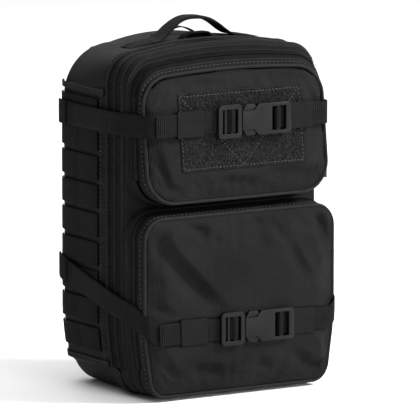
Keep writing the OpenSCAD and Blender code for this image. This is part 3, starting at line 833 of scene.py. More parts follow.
def blow_up(piece, pressure, cap, held, grow=0.0, frames=20):
    """held(points) is 1 where the cloth is sewn down. grow makes it larger than its form, so it creases."""
    before = points_of(piece)
    only(piece)
    group = piece.vertex_groups.new(name="sewn")
    for i, w in enumerate(held(before)):
        group.add([i], float(w), "REPLACE")
    cloth = piece.modifiers.new("cloth", "CLOTH")
    settings = cloth.settings
    settings.quality = 5
    settings.mass = 0.25
    settings.tension_stiffness = settings.compression_stiffness = 12
    settings.shear_stiffness = 6
    settings.bending_stiffness = 0.35
    settings.vertex_group_mass = "sewn"
    settings.shrink_min = -grow
    settings.use_pressure = True
    settings.uniform_pressure_force = pressure
    settings.effector_weights.gravity = 0
    cloth.point_cache.frame_start, cloth.point_cache.frame_end = 1, frames
    for f in range(1, frames + 1):
        bpy.context.scene.frame_set(f)
    bpy.ops.object.modifier_apply(modifier=cloth.name)
    bpy.context.scene.frame_set(1)
    after = points_of(piece)
    shift = after - before
    size = np.linalg.norm(shift, axis=1)
    shift *= (np.minimum(size, cap) / np.maximum(size, 1e-9))[:, None]
    piece.vertex_groups.clear()
    move_points(piece, before + np.nan_to_num(shift))


def subdivide_piece(piece, levels=1):
    only(piece)
    subdivision = piece.modifiers.new("subdivision", "SUBSURF")
    subdivision.levels = subdivision.render_levels = levels
    bpy.ops.object.modifier_apply(modifier=subdivision.name)


# %% Creases
def crease(co, a, b, width, depth):
    """A soft valley along a line on a face, in its own (x, h), fading at both ends."""
    a, b = np.array(a), np.array(b)
    line = b - a
    t = np.clip(((co - a) @ line) / (line @ line), 0, 1)
    away = co - (a + t[:, None] * line)
    side = np.sign(line[0] * away[:, 1] - line[1] * away[:, 0])
    d = np.linalg.norm(away, axis=1) * side
    fade = np.sin(math.pi * np.clip(t, 0.02, 0.98)) ** 0.5
    valley = np.exp(-(d / width) ** 2)
    ridge = np.exp(-((d - width * 1.7) / (width * 1.15)) ** 2)
    return depth * fade * (valley - 0.75 * ridge)


def face_rows(p, count=240):
    half, _, _, r_low, r_high, crown = p["lid"]
    flat = (half, 0.0, p["height"], r_low, r_high, crown)
    rows = []
    stations = [(0.125, 0.0028), (0.06, 0.0028), (0.02, 0.0028), (0.006, 0.0026), (0.0022, 0.0016),
                (0.0006, 0.0004), (0.0012, -0.0014), (0.0060, -0.0036), (0.014, -0.0054), (0.026, -0.0066),
                (0.040, -0.0074), (0.058, -0.0078), (0.08, -0.0079), (0.125, -0.0079)]
    for inset, depth in stations:
        q = shape(inset_by(flat, min(inset, 0.078)), count)
        if inset > 0.1:
            q = np.stack([q[:, 0] * 0.86, np.full(count, p["height"] / 2)], 1)
        rows.append(on_face(p, q[:, 0], np.full(count, depth), q[:, 1]))
    return rows


def flat_on(p, co):
    """The inverse of on_face: x, depth and h of points."""
    c, s = math.cos(p["angle"]), math.sin(p["angle"])
    y, z = co[:, 1] - p["face_low"], co[:, 2] - p["low"]
    return np.stack([co[:, 0], y * c - z * s, y * s + z * c], 1)


def padded_face(p, creases, presses, grow, pressure, swell):
    piece = lay_grid(p["name"] + "_face", face_rows(p), round_u=True)
    weld(piece, outwards=True)
    remesh_piece(piece, 0.0044)
    half, top = p["lid"][0], p["height"]

    def held(co):
        q = flat_on(p, co)
        edge = np.minimum(half - np.abs(q[:, 0]), np.minimum(q[:, 2], top - q[:, 2]))
        corner = np.hypot(np.maximum(np.abs(q[:, 0]) - half + 0.04, 0),
                          np.maximum(np.abs(q[:, 2] - top / 2) - top / 2 + 0.04, 0))
        edge = np.minimum(edge, 0.04 - corner)
        return np.where((q[:, 1] > 0.001) | (edge < 0.0065), 1.0, 0.0)

    blow_up(piece, pressure, swell, held, grow)
    subdivide_piece(piece)
    q = flat_on(p, points_of(piece))
    q[:, 0] *= (half - 0.0014) / np.abs(q[:, 0]).max()
    q[:, 2] = 0.0014 + (q[:, 2] - q[:, 2].min()) * (top + p["lid"][5] - 0.0028) / np.ptp(q[:, 2])
    front = ease((0.001 - q[:, 1]) / 0.004)
    edge = ease(np.minimum(half - np.abs(q[:, 0]), np.minimum(q[:, 2], top - q[:, 2])) / 0.02)
    push = np.zeros(len(q))
    for a, b, width, depth in creases:
        push += crease(q[:, (0, 2)], a, b, width, depth)
    q[:, 1] += push * front * edge
    for low, high, x_low, x_high, limit in presses:
        inside = ease((q[:, 2] - low) / 0.006) * ease((high - q[:, 2]) / 0.006)
        inside *= ease((q[:, 0] - x_low) / 0.006) * ease((x_high - q[:, 0]) / 0.006)
        over = np.maximum(limit - q[:, 1], 0) * (q[:, 1] < 0)
        q[:, 1] += over * np.where(inside > 0.2, 1, inside)
    q[:, 1] = np.maximum(q[:, 1], -0.0079 - swell)
    move_points(piece, on_face(p, q[:, 0], q[:, 1], q[:, 2]))
    finish_piece(piece, face_nylon, p["name"] + "_flap", (p["name"] + "_pocket_face",),
                 angle=80)
    print(piece.name, len(piece.data.polygons), "faces")
    return piece


strap_half = 0.0175
lower_creases = [
    ((-0.136, 0.208), (-0.040, 0.112), 0.0150, 0.0125), ((-0.092, 0.226), (-0.050, 0.208), 0.0095, 0.0062),
    ((0.116, 0.222), (0.141, 0.184), 0.0090, 0.0064), ((0.070, 0.190), (0.102, 0.140), 0.0110, 0.0052),
    ((-0.082, 0.034), (-0.026, 0.026), 0.0110, 0.0066), ((0.080, 0.042), (0.134, 0.014), 0.0110, 0.0070),
    ((0.026, 0.034), (0.050, 0.024), 0.007, 0.0030), ((0.020, 0.222), (0.052, 0.214), 0.009, 0.0030),
    ((-0.136, 0.120), (-0.104, 0.104), 0.010, 0.0030), ((-0.128, 0.052), (-0.104, 0.020), 0.009, 0.0030),
]
upper_creases = [
    ((-0.078, 0.156), (-0.020, 0.152), 0.0090, 0.0050), ((-0.030, 0.022), (0.022, 0.018), 0.0095, 0.0056),
    ((0.046, 0.030), (0.112, 0.024), 0.0110, 0.0062), ((-0.128, 0.070), (-0.112, 0.016), 0.0065, 0.0028),
    ((-0.120, 0.050), (-0.106, 0.012), 0.006, 0.0022), ((0.040, 0.158), (0.090, 0.152), 0.008, 0.0028),
    ((0.112, 0.140), (0.128, 0.100), 0.008, 0.0024),
]
padded_face(lower, lower_creases, [(0.084 - strap_half, 0.084 + strap_half, -0.16, 0.16, -0.0090)],
            grow=0.015, pressure=2.4, swell=4.5 * mm)
padded_face(upper, upper_creases, [(0.102 - strap_half, 0.102 + strap_half, -0.16, 0.16, -0.0096),
                                   (0.0366, 0.1424, -0.0932, 0.1032, -0.0082)],
            grow=0.015, pressure=2.2, swell=2.6 * mm)

# %% [markdown]
# ## Webbing sewn to the sides
# Each side carries nine level rows of 32 mm webbing, 38 mm apart. They are tacked down at three upright
# columns and stand a little loose in between, so that a pouch's straps can be woven through them.

# %% Joining and placing
def join(name, pieces):
    only(pieces[0])
    for piece in pieces:
        piece.select_set(True)
    bpy.ops.object.join()
    piece = bpy.context.active_object
    piece.name = piece.data.name = name
    return piece


def side_normal(y):
    step = 0.0005
    slope = (side_x(y + step) - side_x(y - step)) / (2 * step)
    n = np.array([1.0, -slope, 0.0])
    return n / np.linalg.norm(n)


def on_side(side, y, z, proud):
    n = side_normal(y)
    return np.array([side * (side_x(y) + n[0] * proud), y + n[1] * proud, z])


# %% Side rows
columns = (-0.0215, 0.027, 0.0755)
row_height = 0.0315
row_start = 0.053
row_pitch = 0.038
row_count = 9


def loose(y):
    for a, b in zip(columns[:-1], columns[1:]):
        if a <= y <= b:
            return abs(math.sin(math.pi * (y - a) / (b - a))) ** 0.65
    return 0.0


rows_made, tack_runs = [], []
for side in (-1, 1):
    for i in range(row_count):
        middle = row_start + row_pitch * i + row_height / 2
        drift = 0.0005 * noise.noise((i * 1.7, side * 3.0, 0.5))
        slack = 0.0011 + 0.0006 * noise.noise((i * 2.3, side * 5.0, 1.5))
        path = [on_side(side, y, middle + drift, 0.0014 + slack * loose(y))
                for y in np.linspace(-0.0240, 0.0780, 36)]
        rows_made.append(strip("row", path, (0, 0, 1), row_height, 1.7 * mm, count=36, passes=0))
        for y in columns:
            n = side_normal(y) * (side, 1, 1)
            for shift in (-0.0011, 0.0011):
                ends = [on_side(side, y + shift, middle + v, 0.0025) for v in (-0.0145, 0.0145)]
                tack_runs.append((ends, [n, n]))
# The rows take the darker webbing copy, which paints shade on the sides.
side_rows = finish_piece(join("side_rows", rows_made), shaded_row_nylon, "rear_shell", ("side_webbing",))
finish_piece(set_down("row_tacks", stitch_form, tack_runs, 3.2 * mm), dark_thread, "rear_shell")
print("side rows", len(side_rows.data.polygons), "faces")

# %% [markdown]
# ## Hems above and below the rows
# The side panel is sewn to the top panel above the rows and to the base below them. Each seam is a narrow
# folded hem that runs round the back from one zip tape to the other, with a row of stitches along it.

# %% Hems
def hem_line(z, proud, side):
    return [on_side(side, y, z + 0.0003 * math.sin(y * 90), proud) for y in np.linspace(-0.0400, 0.0800, 50)]


hems, hem_runs = [], []
for side in (-1, 1):
    for z in (0.3985, 0.0385):
        hems.append(strip("hem", hem_line(z, 0.0011, side), (0, 0, 1), 0.0085, 0.0020, count=50, passes=0))
        line = hem_line(z + 0.0022, 0.0023, side)
        hem_runs.append((line, [side_normal(y) * (side, 1, 1) for y in np.linspace(-0.0400, 0.0800, 50)]))
    for y in (-0.0300, 0.0825):
        line = [on_side(side, y, z, 0.0012) for z in np.linspace(0.0400, 0.3960, 40)]
        hem_runs.append((line, [side_normal(y) * (side, 1, 1)] * 40))
finish_piece(join("side_hems", hems), pack_nylon, "rear_shell")
finish_piece(set_down("side_hem_stitches", stitch_form, hem_runs, 6.0 * mm), thread_nylon, "rear_shell")

# %% [markdown]
# ## Seams of the bag
# A row of stitches follows each seam: beside the bindings, round the front panel's edge, round the foot of
# each pocket and round each face. The thread is black on the bag and a little lighter on the faces.

# %% Seam stitches
fine_stitch = template("stitch", (3.2 * mm, 1.1 * mm, 1.0 * mm))
rear_seams = set_down("rear_seams", fine_stitch, [
    seam_run(shell_shape(0.03), -0.0405, 0.0007, zip_end),
    seam_run(shell_shape(0.05), -0.0375, 0.0007, zip_end), seam_run(rear_edge, -0.0512, 0.0003, zip_end)],
    5.6 * mm)
finish_piece(rear_seams, dark_thread, "rear_shell")
front_seams = set_down("front_seams", fine_stitch, [
    seam_run(inset_by(front_edge, 0.0010), -0.0772, 0.0003, zip_end),
    seam_run(lower["base"], -0.0925, 0.0012), seam_run(upper["base"], -0.0925, 0.0012)], 5.6 * mm)
finish_piece(front_seams, dark_thread, "front_section")
for p in (lower, upper):
    far = between(p["middle"], p["lid"], 0.4)
    runs = [seam_run(between(far, p["lid"], 0.58),
                     lambda z: p["face"](z) * 0.58 + (p["zip"](z) - 0.0080) * 0.42, 0.0016)]
    piece = set_down(p["name"] + "_flap_seams", fine_stitch, runs, 6.2 * mm)
    finish_piece(piece, thread_nylon, p["name"] + "_flap")

# %% [markdown]
# ## The loop panel
# A rectangle of loop pile is sewn to the upper face, with a line of stitches round its edge and a V from its
# upper corners. The pile is real relief: the panel's mesh is fine, and each point is pushed out by a noise.

# %% Loop panel
patch_x = 0.005


def lying_back(h):
    """The panel's top bends back a little with the face, which falls away towards its edge."""
    return 0.0018 * ease((np.asarray(h) - 0.118) / 0.022)


def loop_patch():
    half, low, high, nx, nz = 0.0965, 0.0385, 0.1405, 340, 190
    rows = []
    for h in np.linspace(high, low, nz):
        x = np.linspace(-half, half, nx)
        edge = np.minimum(np.minimum(half - np.abs(x), h - low), high - h)
        sewn = np.abs(edge - 0.0035)
        for a, b in (((-0.090, 0.1345), (0.0, 0.0430)), ((0.090, 0.1345), (0.0, 0.0430))):
            a, b = np.array(a), np.array(b)
            line = b - a
            t = np.clip(((x - a[0]) * line[0] + (h - a[1]) * line[1]) / (line @ line), 0, 1)
            sewn = np.minimum(sewn, np.hypot(x - a[0] - t * line[0], h - a[1] - t * line[1]))
        pile = np.array([0.0008 * abs(noise.noise((v * 900, h * 900, 0)))
                         + 0.0009 * noise.noise((v * 330, h * 330, 4))
                         + 0.0005 * noise.noise((v * 90, h * 90, 9)) for v in x])
        body = 0.0016 * ease(edge / 0.0012)
        stand = body + pile * ease(edge / 0.002)
        beside_seam = 0.35 + 0.65 * ease((sewn - 0.0003) / 0.0016)
        depth = -0.0083 + lying_back(h) - stand * beside_seam
        rows.append(on_face(upper, x + patch_x, depth, np.full(nx, h)))
    return rows


patch = lay_grid("loop_patch", loop_patch(), thick=1.0 * mm)
finish_piece(patch, pile_nylon, "upper_flap", ("loop_panel",), angle=60)


def face_line(p, points, depth):
    a, b = np.array(points) + (patch_x, 0)
    line = np.array([between(a, b, t) for t in np.linspace(0, 1, 12)])
    depth = depth + lying_back(line[:, 1])
    path = on_face(p, line[:, 0], depth, line[:, 1])
    return path, on_face(p, line[:, 0], depth - 0.01, line[:, 1]) - path


patch_seams = set_down("loop_patch_seams", stitch_form, [
    face_line(upper, [(-0.093, 0.137), (0.093, 0.137)], -0.0103),
    face_line(upper, [(-0.093, 0.042), (0.093, 0.042)], -0.0103),
    face_line(upper, [(-0.093, 0.137), (-0.093, 0.042)], -0.0103),
    face_line(upper, [(0.093, 0.137), (0.093, 0.042)], -0.0103),
    face_line(upper, [(-0.090, 0.1345), (0.0, 0.0430)], -0.0103),
    face_line(upper, [(0.090, 0.1345), (0.0, 0.0430)], -0.0103)], 5.2 * mm)
finish_piece(patch_seams, thread_nylon, "upper_flap")
print("loop patch", len(patch.data.polygons), "faces")

# %% [markdown]
# ## Hard parts
# Buckles, prongs, sliders, pulls and ladder locks take their shape from the frame. A copy of each is merged,
# its flat faces are joined, and its edges are rounded as a moulding's are.

# %% Mouldings
def moulding(node, material, body, width=0.7 * mm, segments=2):
    nothing_selected()
    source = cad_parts[node]
    piece = source.copy()
    piece.data = source.data.copy()
    piece.parent = None
    piece.matrix_world = source.matrix_world.copy()
    bpy.context.scene.collection.objects.link(piece)
    piece.name = piece.data.name = node + "_moulding"
    only(piece)
    bpy.ops.object.transform_apply(location=True, rotation=True, scale=True)
    bpy.ops.object.mode_set(mode="EDIT")
    bpy.ops.mesh.select_all(action="SELECT")
    bpy.ops.mesh.remove_doubles(threshold=0.00001)
    bpy.ops.mesh.dissolve_limited(angle_limit=math.radians(2))
    bpy.ops.mesh.normals_make_consistent(inside=False)
    bpy.ops.object.mode_set(mode="OBJECT")
    edges = piece.modifiers.new("rounded edges", "BEVEL")
    edges.width = width
    edges.segments = segments
    edges.limit_method = "ANGLE"
    edges.angle_limit = math.radians(35)
    edges.harden_normals = False
    apply_modifiers(piece)
    return finish_piece(piece, material, body, (node,), angle=35, soft=False)


# %% Buckles and sliders
for which in ("upper", "lower"):
    moulding(which + "_buckle_plug", buckle_acetal, which + "_plug")
    moulding(which + "_buckle_socket", buckle_acetal, which + "_flap")
    moulding(which + "_slider", slider_zinc, which + "_slider", 0.4 * mm)
    moulding(which + "_pull", pull_acetal, which + "_pull", 0.5 * mm)
    for end in ("top", "bottom"):
        moulding(which + "_prong_" + end, buckle_acetal, which + "_prong_" + end, 0.4 * mm)
for end in ("up", "down"):
    moulding("main_slider_" + end, slider_zinc, "main_slider_" + end, 0.4 * mm)
    moulding("main_pull_" + end, pull_acetal, "main_pull_" + end, 0.5 * mm)
moulding("ladder_locks", buckle_acetal, "harness", 0.5 * mm)
moulding("sternum_socket", buckle_acetal, "harness", 0.4 * mm)
moulding("sternum_plug", buckle_acetal, "sternum_plug", 0.4 * mm)

# %% [markdown]
# ## Compression straps
# Two 30 mm straps cross the pack. Each starts in a folded anchor on the side, runs forward over the rows,
# turns the flap's corner and ends at its buckle. The left one is laced round the plug's bar and its tail
# lies back under an elastic keeper.

# %% Strap paths
strap_w, strap_t = 0.0300, 0.0017
buckle_x = -0.039


def lower_rise(y):
    return 0.105 + 0.054 * max(0.0, (y + 0.1398) / 0.2198)


def strap_side(side, z_at, y_end, x_end):
    path = [on_side(side, y, z_at(y), 0.0052) for y in np.linspace(0.0700, -0.042, 14)]
    path += [np.array([side * 0.1547, y, z_at(y)]) for y in (-0.056, -0.070)]
    return path + [np.array([side * x_end, y_end, z_at(y_end)])]


def wavy(path, seed, size=0.0006):
    path = np.array(path, float)
    bend = np.array([[0, 0, size * noise.noise((i * 0.35, seed, 0.3))] for i in range(len(path))])
    return path + bend


strap_sets = {
    "upper": dict(z=lambda y: 0.362, base=0.362, y=-0.1332, mid=-0.0945, mid_x=0.1480, flap_y=-0.1115,
                  flap_x=0.1440, corner=((0.1425, -0.1225, 0.362), (0.1380, -0.1308, 0.362),
                                         (0.1320, -0.1335, 0.362)), body="upper_flap"),
    "lower": dict(z=lower_rise, base=0.090, y=-0.1406, mid=-0.0945, mid_x=0.1525, flap_y=-0.1120,
                  flap_x=0.1503, corner=((0.1502, -0.1280, 0.106), (0.1462, -0.1385, 0.0985),
                                         (0.1350, -0.1408, 0.0905)), body="lower_flap"),
}


def compression_strap(which):
    s = strap_sets[which]
    z_at, body, y = s["z"], s["body"], s["y"]
    side_parts, corners = [], []
    for side in (-1, 1):
        back = strap_side(side, z_at, s["mid"], s["mid_x"])
        side_parts.append(strip("run", wavy(back, side * 2.0 + s["base"]), (0, 0, 1), strap_w, strap_t,
                                count=60, passes=2))
        turn = [back[-1] + (back[-1] - back[-2]) * -0.02,
                np.array([side * s["flap_x"], s["flap_y"], z_at(s["flap_y"])])]
        corners.append(strip("corner", turn, (0, 0, 1), strap_w, strap_t, count=12, passes=0))
    sides = finish_piece(join(which + "_strap_side_runs", side_parts), webbing_nylon, None,
                         (which + "_strap_sides",))
    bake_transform(sides)
    bends = finish_piece(join(which + "_strap_corners", corners), webbing_nylon, None)
    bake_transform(bends)

    runs = []
    for side, x_end in ((-1, buckle_x - 0.009), (1, 0.050)):
        start = np.array([side * s["flap_x"], s["flap_y"] + 0.0004, z_at(s["flap_y"])])
        path = [start] + [np.array([side * c[0], c[1], c[2]]) for c in s["corner"]]
        path += [np.array([side * x, y, s["base"]]) for x in np.linspace(0.122, side * x_end, 9)]
        runs.append(strip("front", wavy(path, side + s["base"], 0.0004), (0, 0, 1), strap_w, strap_t,
                          count=110, passes=3))
    mount_y = y + 0.0008
    bar = 0.054 + buckle_x + 0.037
    folded = [(bar + 0.046, y - 0.0017), (bar + 0.006, mount_y - 0.0024), (bar + 0.0063, mount_y - 0.0085),
              (bar + 0.0025, mount_y - 0.0099), (bar - 0.0013, mount_y - 0.0085),
              (bar - 0.0013, mount_y - 0.0034), (bar + 0.004, mount_y - 0.0026),
              (bar + 0.016, mount_y - 0.0030)]
    loop = [np.array([x, v, s["base"]]) for x, v in folded]
    runs.append(strip("fold", loop, (0, 0, 1), strap_w - 0.0016, 0.0015, count=90, passes=2))
    front = finish_piece(join(which + "_strap_front_run", runs), webbing_nylon, body,
                         (which + "_strap_front",))

    u = buckle_x + 0.019
    tail = [(buckle_x - 0.0935, y - 0.0034), (buckle_x - 0.070, y - 0.0029), (buckle_x - 0.030, y - 0.0026),
            (buckle_x - 0.002, y - 0.0022), (buckle_x + 0.012, y - 0.0032), (u - 0.0016, y - 0.0066),
            (u + 0.0004, y - 0.0092), (u + 0.0030, y - 0.0101), (u + 0.0060, y - 0.0086),
            (u + 0.0066, y - 0.0055), (u + 0.0040, y - 0.0034), (u - 0.002, y - 0.0032)]
    path = [np.array([x, v, s["base"]]) for x, v in tail]
    tail_piece = strip(which + "_strap_tail_run", path, (0, 0, 1), strap_w - 0.0012, 0.0015, count=120,
                       passes=2)
    finish_piece(tail_piece, webbing_nylon, which + "_plug", (which + "_strap_tail",))
    tack = [np.array([buckle_x - 0.0895, y - 0.0046, s["base"] + v]) for v in (-0.012, 0.012)]
    tack2 = [t + (0.003, 0, 0) for t in tack]
    piece = set_down(which + "_tail_hem", fine_stitch, [(tack, [(0, -1, 0)] * 2), (tack2, [(0, -1, 0)] * 2)],
                     3.2 * mm)
    finish_piece(piece, dark_thread, which + "_plug")
    x0 = bar + 0.039
    runs = [([np.array([x, y - 0.0028, s["base"] + v]) for v in (-0.0125, 0.0125)], [(0, -1, 0)] * 2)
            for x in (x0, x0 + 0.003)]
    finish_piece(set_down(which + "_fold_tack", fine_stitch, runs, 3.2 * mm), dark_thread, body)
    return front


compression_strap("upper")
compression_strap("lower")

# %% Strap anchors
anchors, anchor_runs = [], []
for side in (-1, 1):
    for z_at in (strap_sets["upper"]["z"], lower_rise):
        z = z_at(0.067)
        path = [on_side(side, y, z_at(y), p)
                for y, p in ((0.0560, 0.0037), (0.0640, 0.0040), (0.0735, 0.0042), (0.0775, 0.0052),
                             (0.0750, 0.0066), (0.0640, 0.0072), (0.0500, 0.0070))]
        anchors.append(strip("anchor", path, (0, 0, 1), 0.0306, 0.0016, count=40, passes=2))
        n = side_normal(0.060) * (side, 1, 1)
        for y in (0.0530, 0.0640):
            anchor_runs.append(([on_side(side, y, z_at(y) + v, 0.0081) for v in (-0.0125, 0.0125)], [n, n]))
        for v in (-0.0125, 0.0125):
            anchor_runs.append(([on_side(side, y, z_at(y) + v, 0.0081) for y in (0.0530, 0.0640)], [n, n]))
finish_piece(join("strap_anchors", anchors), webbing_nylon, "rear_shell")
finish_piece(set_down("strap_anchor_tacks", stitch_form, anchor_runs, 3.4 * mm), dark_thread, "rear_shell")

# %% [markdown]
# ## Elastic keepers
# A keeper is a tube of ribbed elastic round the strap and its loose end. It is pinched slightly in the
# middle and its ends are uneven, as cut elastic is.

# %% Keepers
def keeper(node, x0, x1, y, y_front, y_back, z, body):
    rows = []
    for i, x in enumerate(np.linspace(x0, x1, 22)):
        t = i / 21
        pinch = 0.0004 * math.sin(math.pi * t) + 0.0003 * noise.noise((t * 9, y * 50, z * 30))
        flare = 0.0005 * (1 if i in (0, 21) else 0)
        half_z, half_y = 0.0176 - pinch * 0.8, (y_back - y_front) / 2 - pinch * 0.4
        middle_y = y + (y_front + y_back) / 2
        ring = []
        for a in np.linspace(0, 2 * math.pi, 49):
            c, s = math.cos(a), math.sin(a)
            ring.append((x - flare * (1 if i == 0 else -1),
                         middle_y - half_y * math.copysign(abs(s) ** 0.45, s),
                         z + half_z * math.copysign(abs(c) ** 0.22, c)))
        rows.append(ring)
    piece = lay_grid(node + "_elastic", rows, round_u=True)
    weld(piece, outwards=True)
    wall = piece.modifiers.new("wall", "SOLIDIFY")
    wall.thickness = 0.9 * mm
    wall.offset = -1
    apply_modifiers(piece)
    finish_piece(piece, elastic_tape, body, (node,), angle=50)


for which in ("upper", "lower"):
    s = strap_sets[which]
    at_y = s["y"] + 0.0008
    keeper(which + "_keeper_left", buckle_x - 0.060, buckle_x - 0.020, at_y, -0.0056, 0.0012, s["base"],
           which + "_plug")
    keeper(which + "_keeper_right", 0.0760, 0.1100, at_y, -0.0048, 0.0012, s["base"], s["body"])

# %% [markdown]
# ## Carry handle and top fittings
# The handle is one length of webbing: flat and sewn down at both ends, and folded in on itself where the hand
# goes.

# %% Top fittings
def crown_at(x, y):
    hit = bag_surface.ray_cast(Vector((x, y, 0.6)), Vector((0, 0, -1)))[0]
    return hit.z


bag_surface = BVHTree.FromObject(bag, bpy.context.evaluated_depsgraph_get())


def handle_rise(x):
    return 0.0242 * (0.5 + 0.5 * math.cos(math.pi * (abs(x) / 0.062) ** 1.4)) if abs(x) < 0.062 else 0.0


def handle_height(x):
    settle = 0.0012 * ease((abs(x) - 0.088) / 0.011)
    return crown_at(x, -0.017) + 0.0013 - settle + handle_rise(x)


handle_path = [np.array([x, -0.017, handle_height(x)]) for x in np.linspace(-0.101, 0.101, 140)]
handle = strip("handle_webbing", handle_path, (0, 1, 0), 0.030, 0.0021, count=140, passes=0)
co = points_of(handle)
middle = np.array([crown_at(x, -0.017) + 0.0013 + handle_rise(x) for x in co[:, 0]])
grip = ease((0.040 - np.abs(co[:, 0])) / 0.016)
fold_in = 1 - 0.32 * grip
co[:, 1] = -0.017 + (co[:, 1] + 0.017) * fold_in
co[:, 2] = middle + (co[:, 2] - middle) * (1 + 1.0 * grip)
move_points(handle, co)
finish_piece(handle, webbing_nylon, None, ("carry_handle",))
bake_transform(handle)

foot_runs, up = [], [(0, 0, 1)] * 2
for side in (-1, 1):
    for a, b in (((0.066, -0.029), (0.098, -0.029)), ((0.066, -0.005), (0.098, -0.005)),
                 ((0.066, -0.029), (0.066, -0.005)), ((0.098, -0.029), (0.098, -0.005)),
                 ((0.066, -0.029), (0.098, -0.005)), ((0.066, -0.005), (0.098, -0.029))):
        path = [np.array([side * (a[0] + (b[0] - a[0]) * t), a[1] + (b[1] - a[1]) * t,
                          crown_at(side * (a[0] + (b[0] - a[0]) * t), -0.017) + 0.0026])
                          for t in np.linspace(0, 1, 7)]
        foot_runs.append((path, [(0, 0, 1)] * 7))
finish_piece(set_down("handle_box_stitches", stitch_form, foot_runs, 3.6 * mm), dark_thread, "rear_shell")

port_rows = []
for t in np.linspace(0, 1, 18):
    x = np.linspace(0.0175, -0.0295, 48)
    y = -0.0215 - 0.0235 * t
    hood = 0.0098 * ease(t / 0.62) + 0.0008 * t
    arch = hood * (1 - (np.abs(x + 0.006) / 0.0237) ** 5)
    port_rows.append(np.stack([x, y + 0.0030 * (np.abs(x + 0.006) / 0.0235) ** 2, 0.4588 + arch], 1))
port = lay_grid("hose_port_cover", port_rows, thick=1.8 * mm)
hanging = [np.array([x, 0.014, crown_at(x, 0.014) + 0.0010 + 0.008 * math.cos(math.pi * x / 0.048)])
           for x in np.linspace(-0.024, 0.024, 30)]
hanging = [np.array([-0.040, 0.014, crown_at(-0.040, 0.014) + 0.0010])] + hanging + \
          [np.array([0.040, 0.014, crown_at(0.040, 0.014) + 0.0010])]
hook = strip("hanging_loop", hanging, (0, 1, 0), 0.012, 0.0014, count=50, passes=1)
finish_piece(join("top_fittings", [port, hook]), webbing_nylon, "rear_shell", ("top_webbing",))

# %% [markdown]
# ## The back
# Two foam pads covered in spacer mesh lie against the wearer's back, with sewn channels across them for air.
# Each is blown up as cloth like the faces, and its channels are pressed in afterwards.

# %% Pads
def rounded_rectangle(half_w, half_h, r):
    points = []
    for cx, cz, a0 in ((half_w - r, -half_h + r, 270), (half_w - r, half_h - r, 0),
                       (-half_w + r, half_h - r, 90), (-half_w + r, -half_h + r, 180)):
        points += [(cx + r * math.cos(math.radians(a)), cz + r * math.sin(math.radians(a)))
                   for a in np.linspace(a0, a0 + 90, 11)]
    return np.array(points + points[:1])


def back_pad(side):
    cx, cz, half_w, half_h, r = side * 0.056, 0.241, 0.0450, 0.1480, 0.026
    stations = [(0.043, 0.0008), (0.02, 0.0008), (0.003, 0.0008), (0.0, 0.0022), (0.0022, 0.0052),
                (0.007, 0.0078), (0.014, 0.0093), (0.025, 0.0101), (0.043, 0.0103)]
    rows = []
    for inset, lift in reversed(stations):
        q = even(rounded_rectangle(half_w - inset, half_h - inset, max(r - inset, 0.0015)), 200)
        rows.append(np.stack([cx + q[:, 0], np.full(200, 0.0882 + lift), cz + q[:, 1]], 1))
    piece = lay_grid("back_pad", rows, round_u=True)
    weld(piece, outwards=True, fill=True)
    remesh_piece(piece, 0.0042)
    blow_up(piece, 3.0, 5 * mm, lambda co: np.where(co[:, 1] < 0.0905, 1.0, 0.0), 0.02, frames=14)
    subdivide_piece(piece)
    co = points_of(piece)
    co[:, 1] = np.clip(co[:, 1], 0.0884, 0.0992)
    inside = ease((np.minimum(half_w - np.abs(co[:, 0] - cx), half_h - np.abs(co[:, 2] - cz))) / 0.012)
    for k in range(-3, 4):
        line = cz + k * 0.040 + 0.010 * side * (co[:, 0] - cx) / half_w
        groove = np.exp(-((co[:, 2] - line) / 0.0034) ** 2)
        co[:, 1] -= np.where(co[:, 1] > 0.0895, 1, 0) * 0.0048 * inside * groove
    move_points(piece, co)
    channel_runs = []
    for k in range(-3, 4):
        path = [np.array([cx + v, 0.0946, cz + k * 0.040 + 0.010 * side * v / half_w])
                for v in np.linspace(-0.034, 0.034, 9)]
        channel_runs.append((path, [(0, 1, 0)] * 9))
    return piece, channel_runs


pad_left, runs_left = back_pad(-1)
pad_right, runs_right = back_pad(1)
pads = finish_piece(join("back_pads_mesh", [pad_left, pad_right]), spacer_mesh, "rear_shell",
                    ("back_pads",), angle=80)
finish_piece(set_down("pad_channel_stitches", stitch_form, runs_left + runs_right, 4.2 * mm), thread_nylon,
             "rear_shell")

edge_paths = []
for side in (-1, 1):
    q = even(rounded_rectangle(0.0462, 0.1492, 0.027), 160)
    ring = [np.array([side * 0.056 + v[0], 0.0884, 0.241 + v[1]]) for v in q]
    edge_paths.append(strip("edge", ring, (0, 1, 0), 0.0036, 0.0026, count=160, passes=0))
finish_piece(join("back_pad_bindings", edge_paths), edge_tape, "rear_shell")
print("pads", len(pads.data.polygons), "faces")

# %% Yoke
def back_at(x, z):
    """The back panel's depth at a place. The yoke lies on it and follows it over the upper edge."""
    return min(0.0872, bag_surface.ray_cast(Vector((x, 0.3, z)), Vector((0, -1, 0)))[0].y + 0.0006)


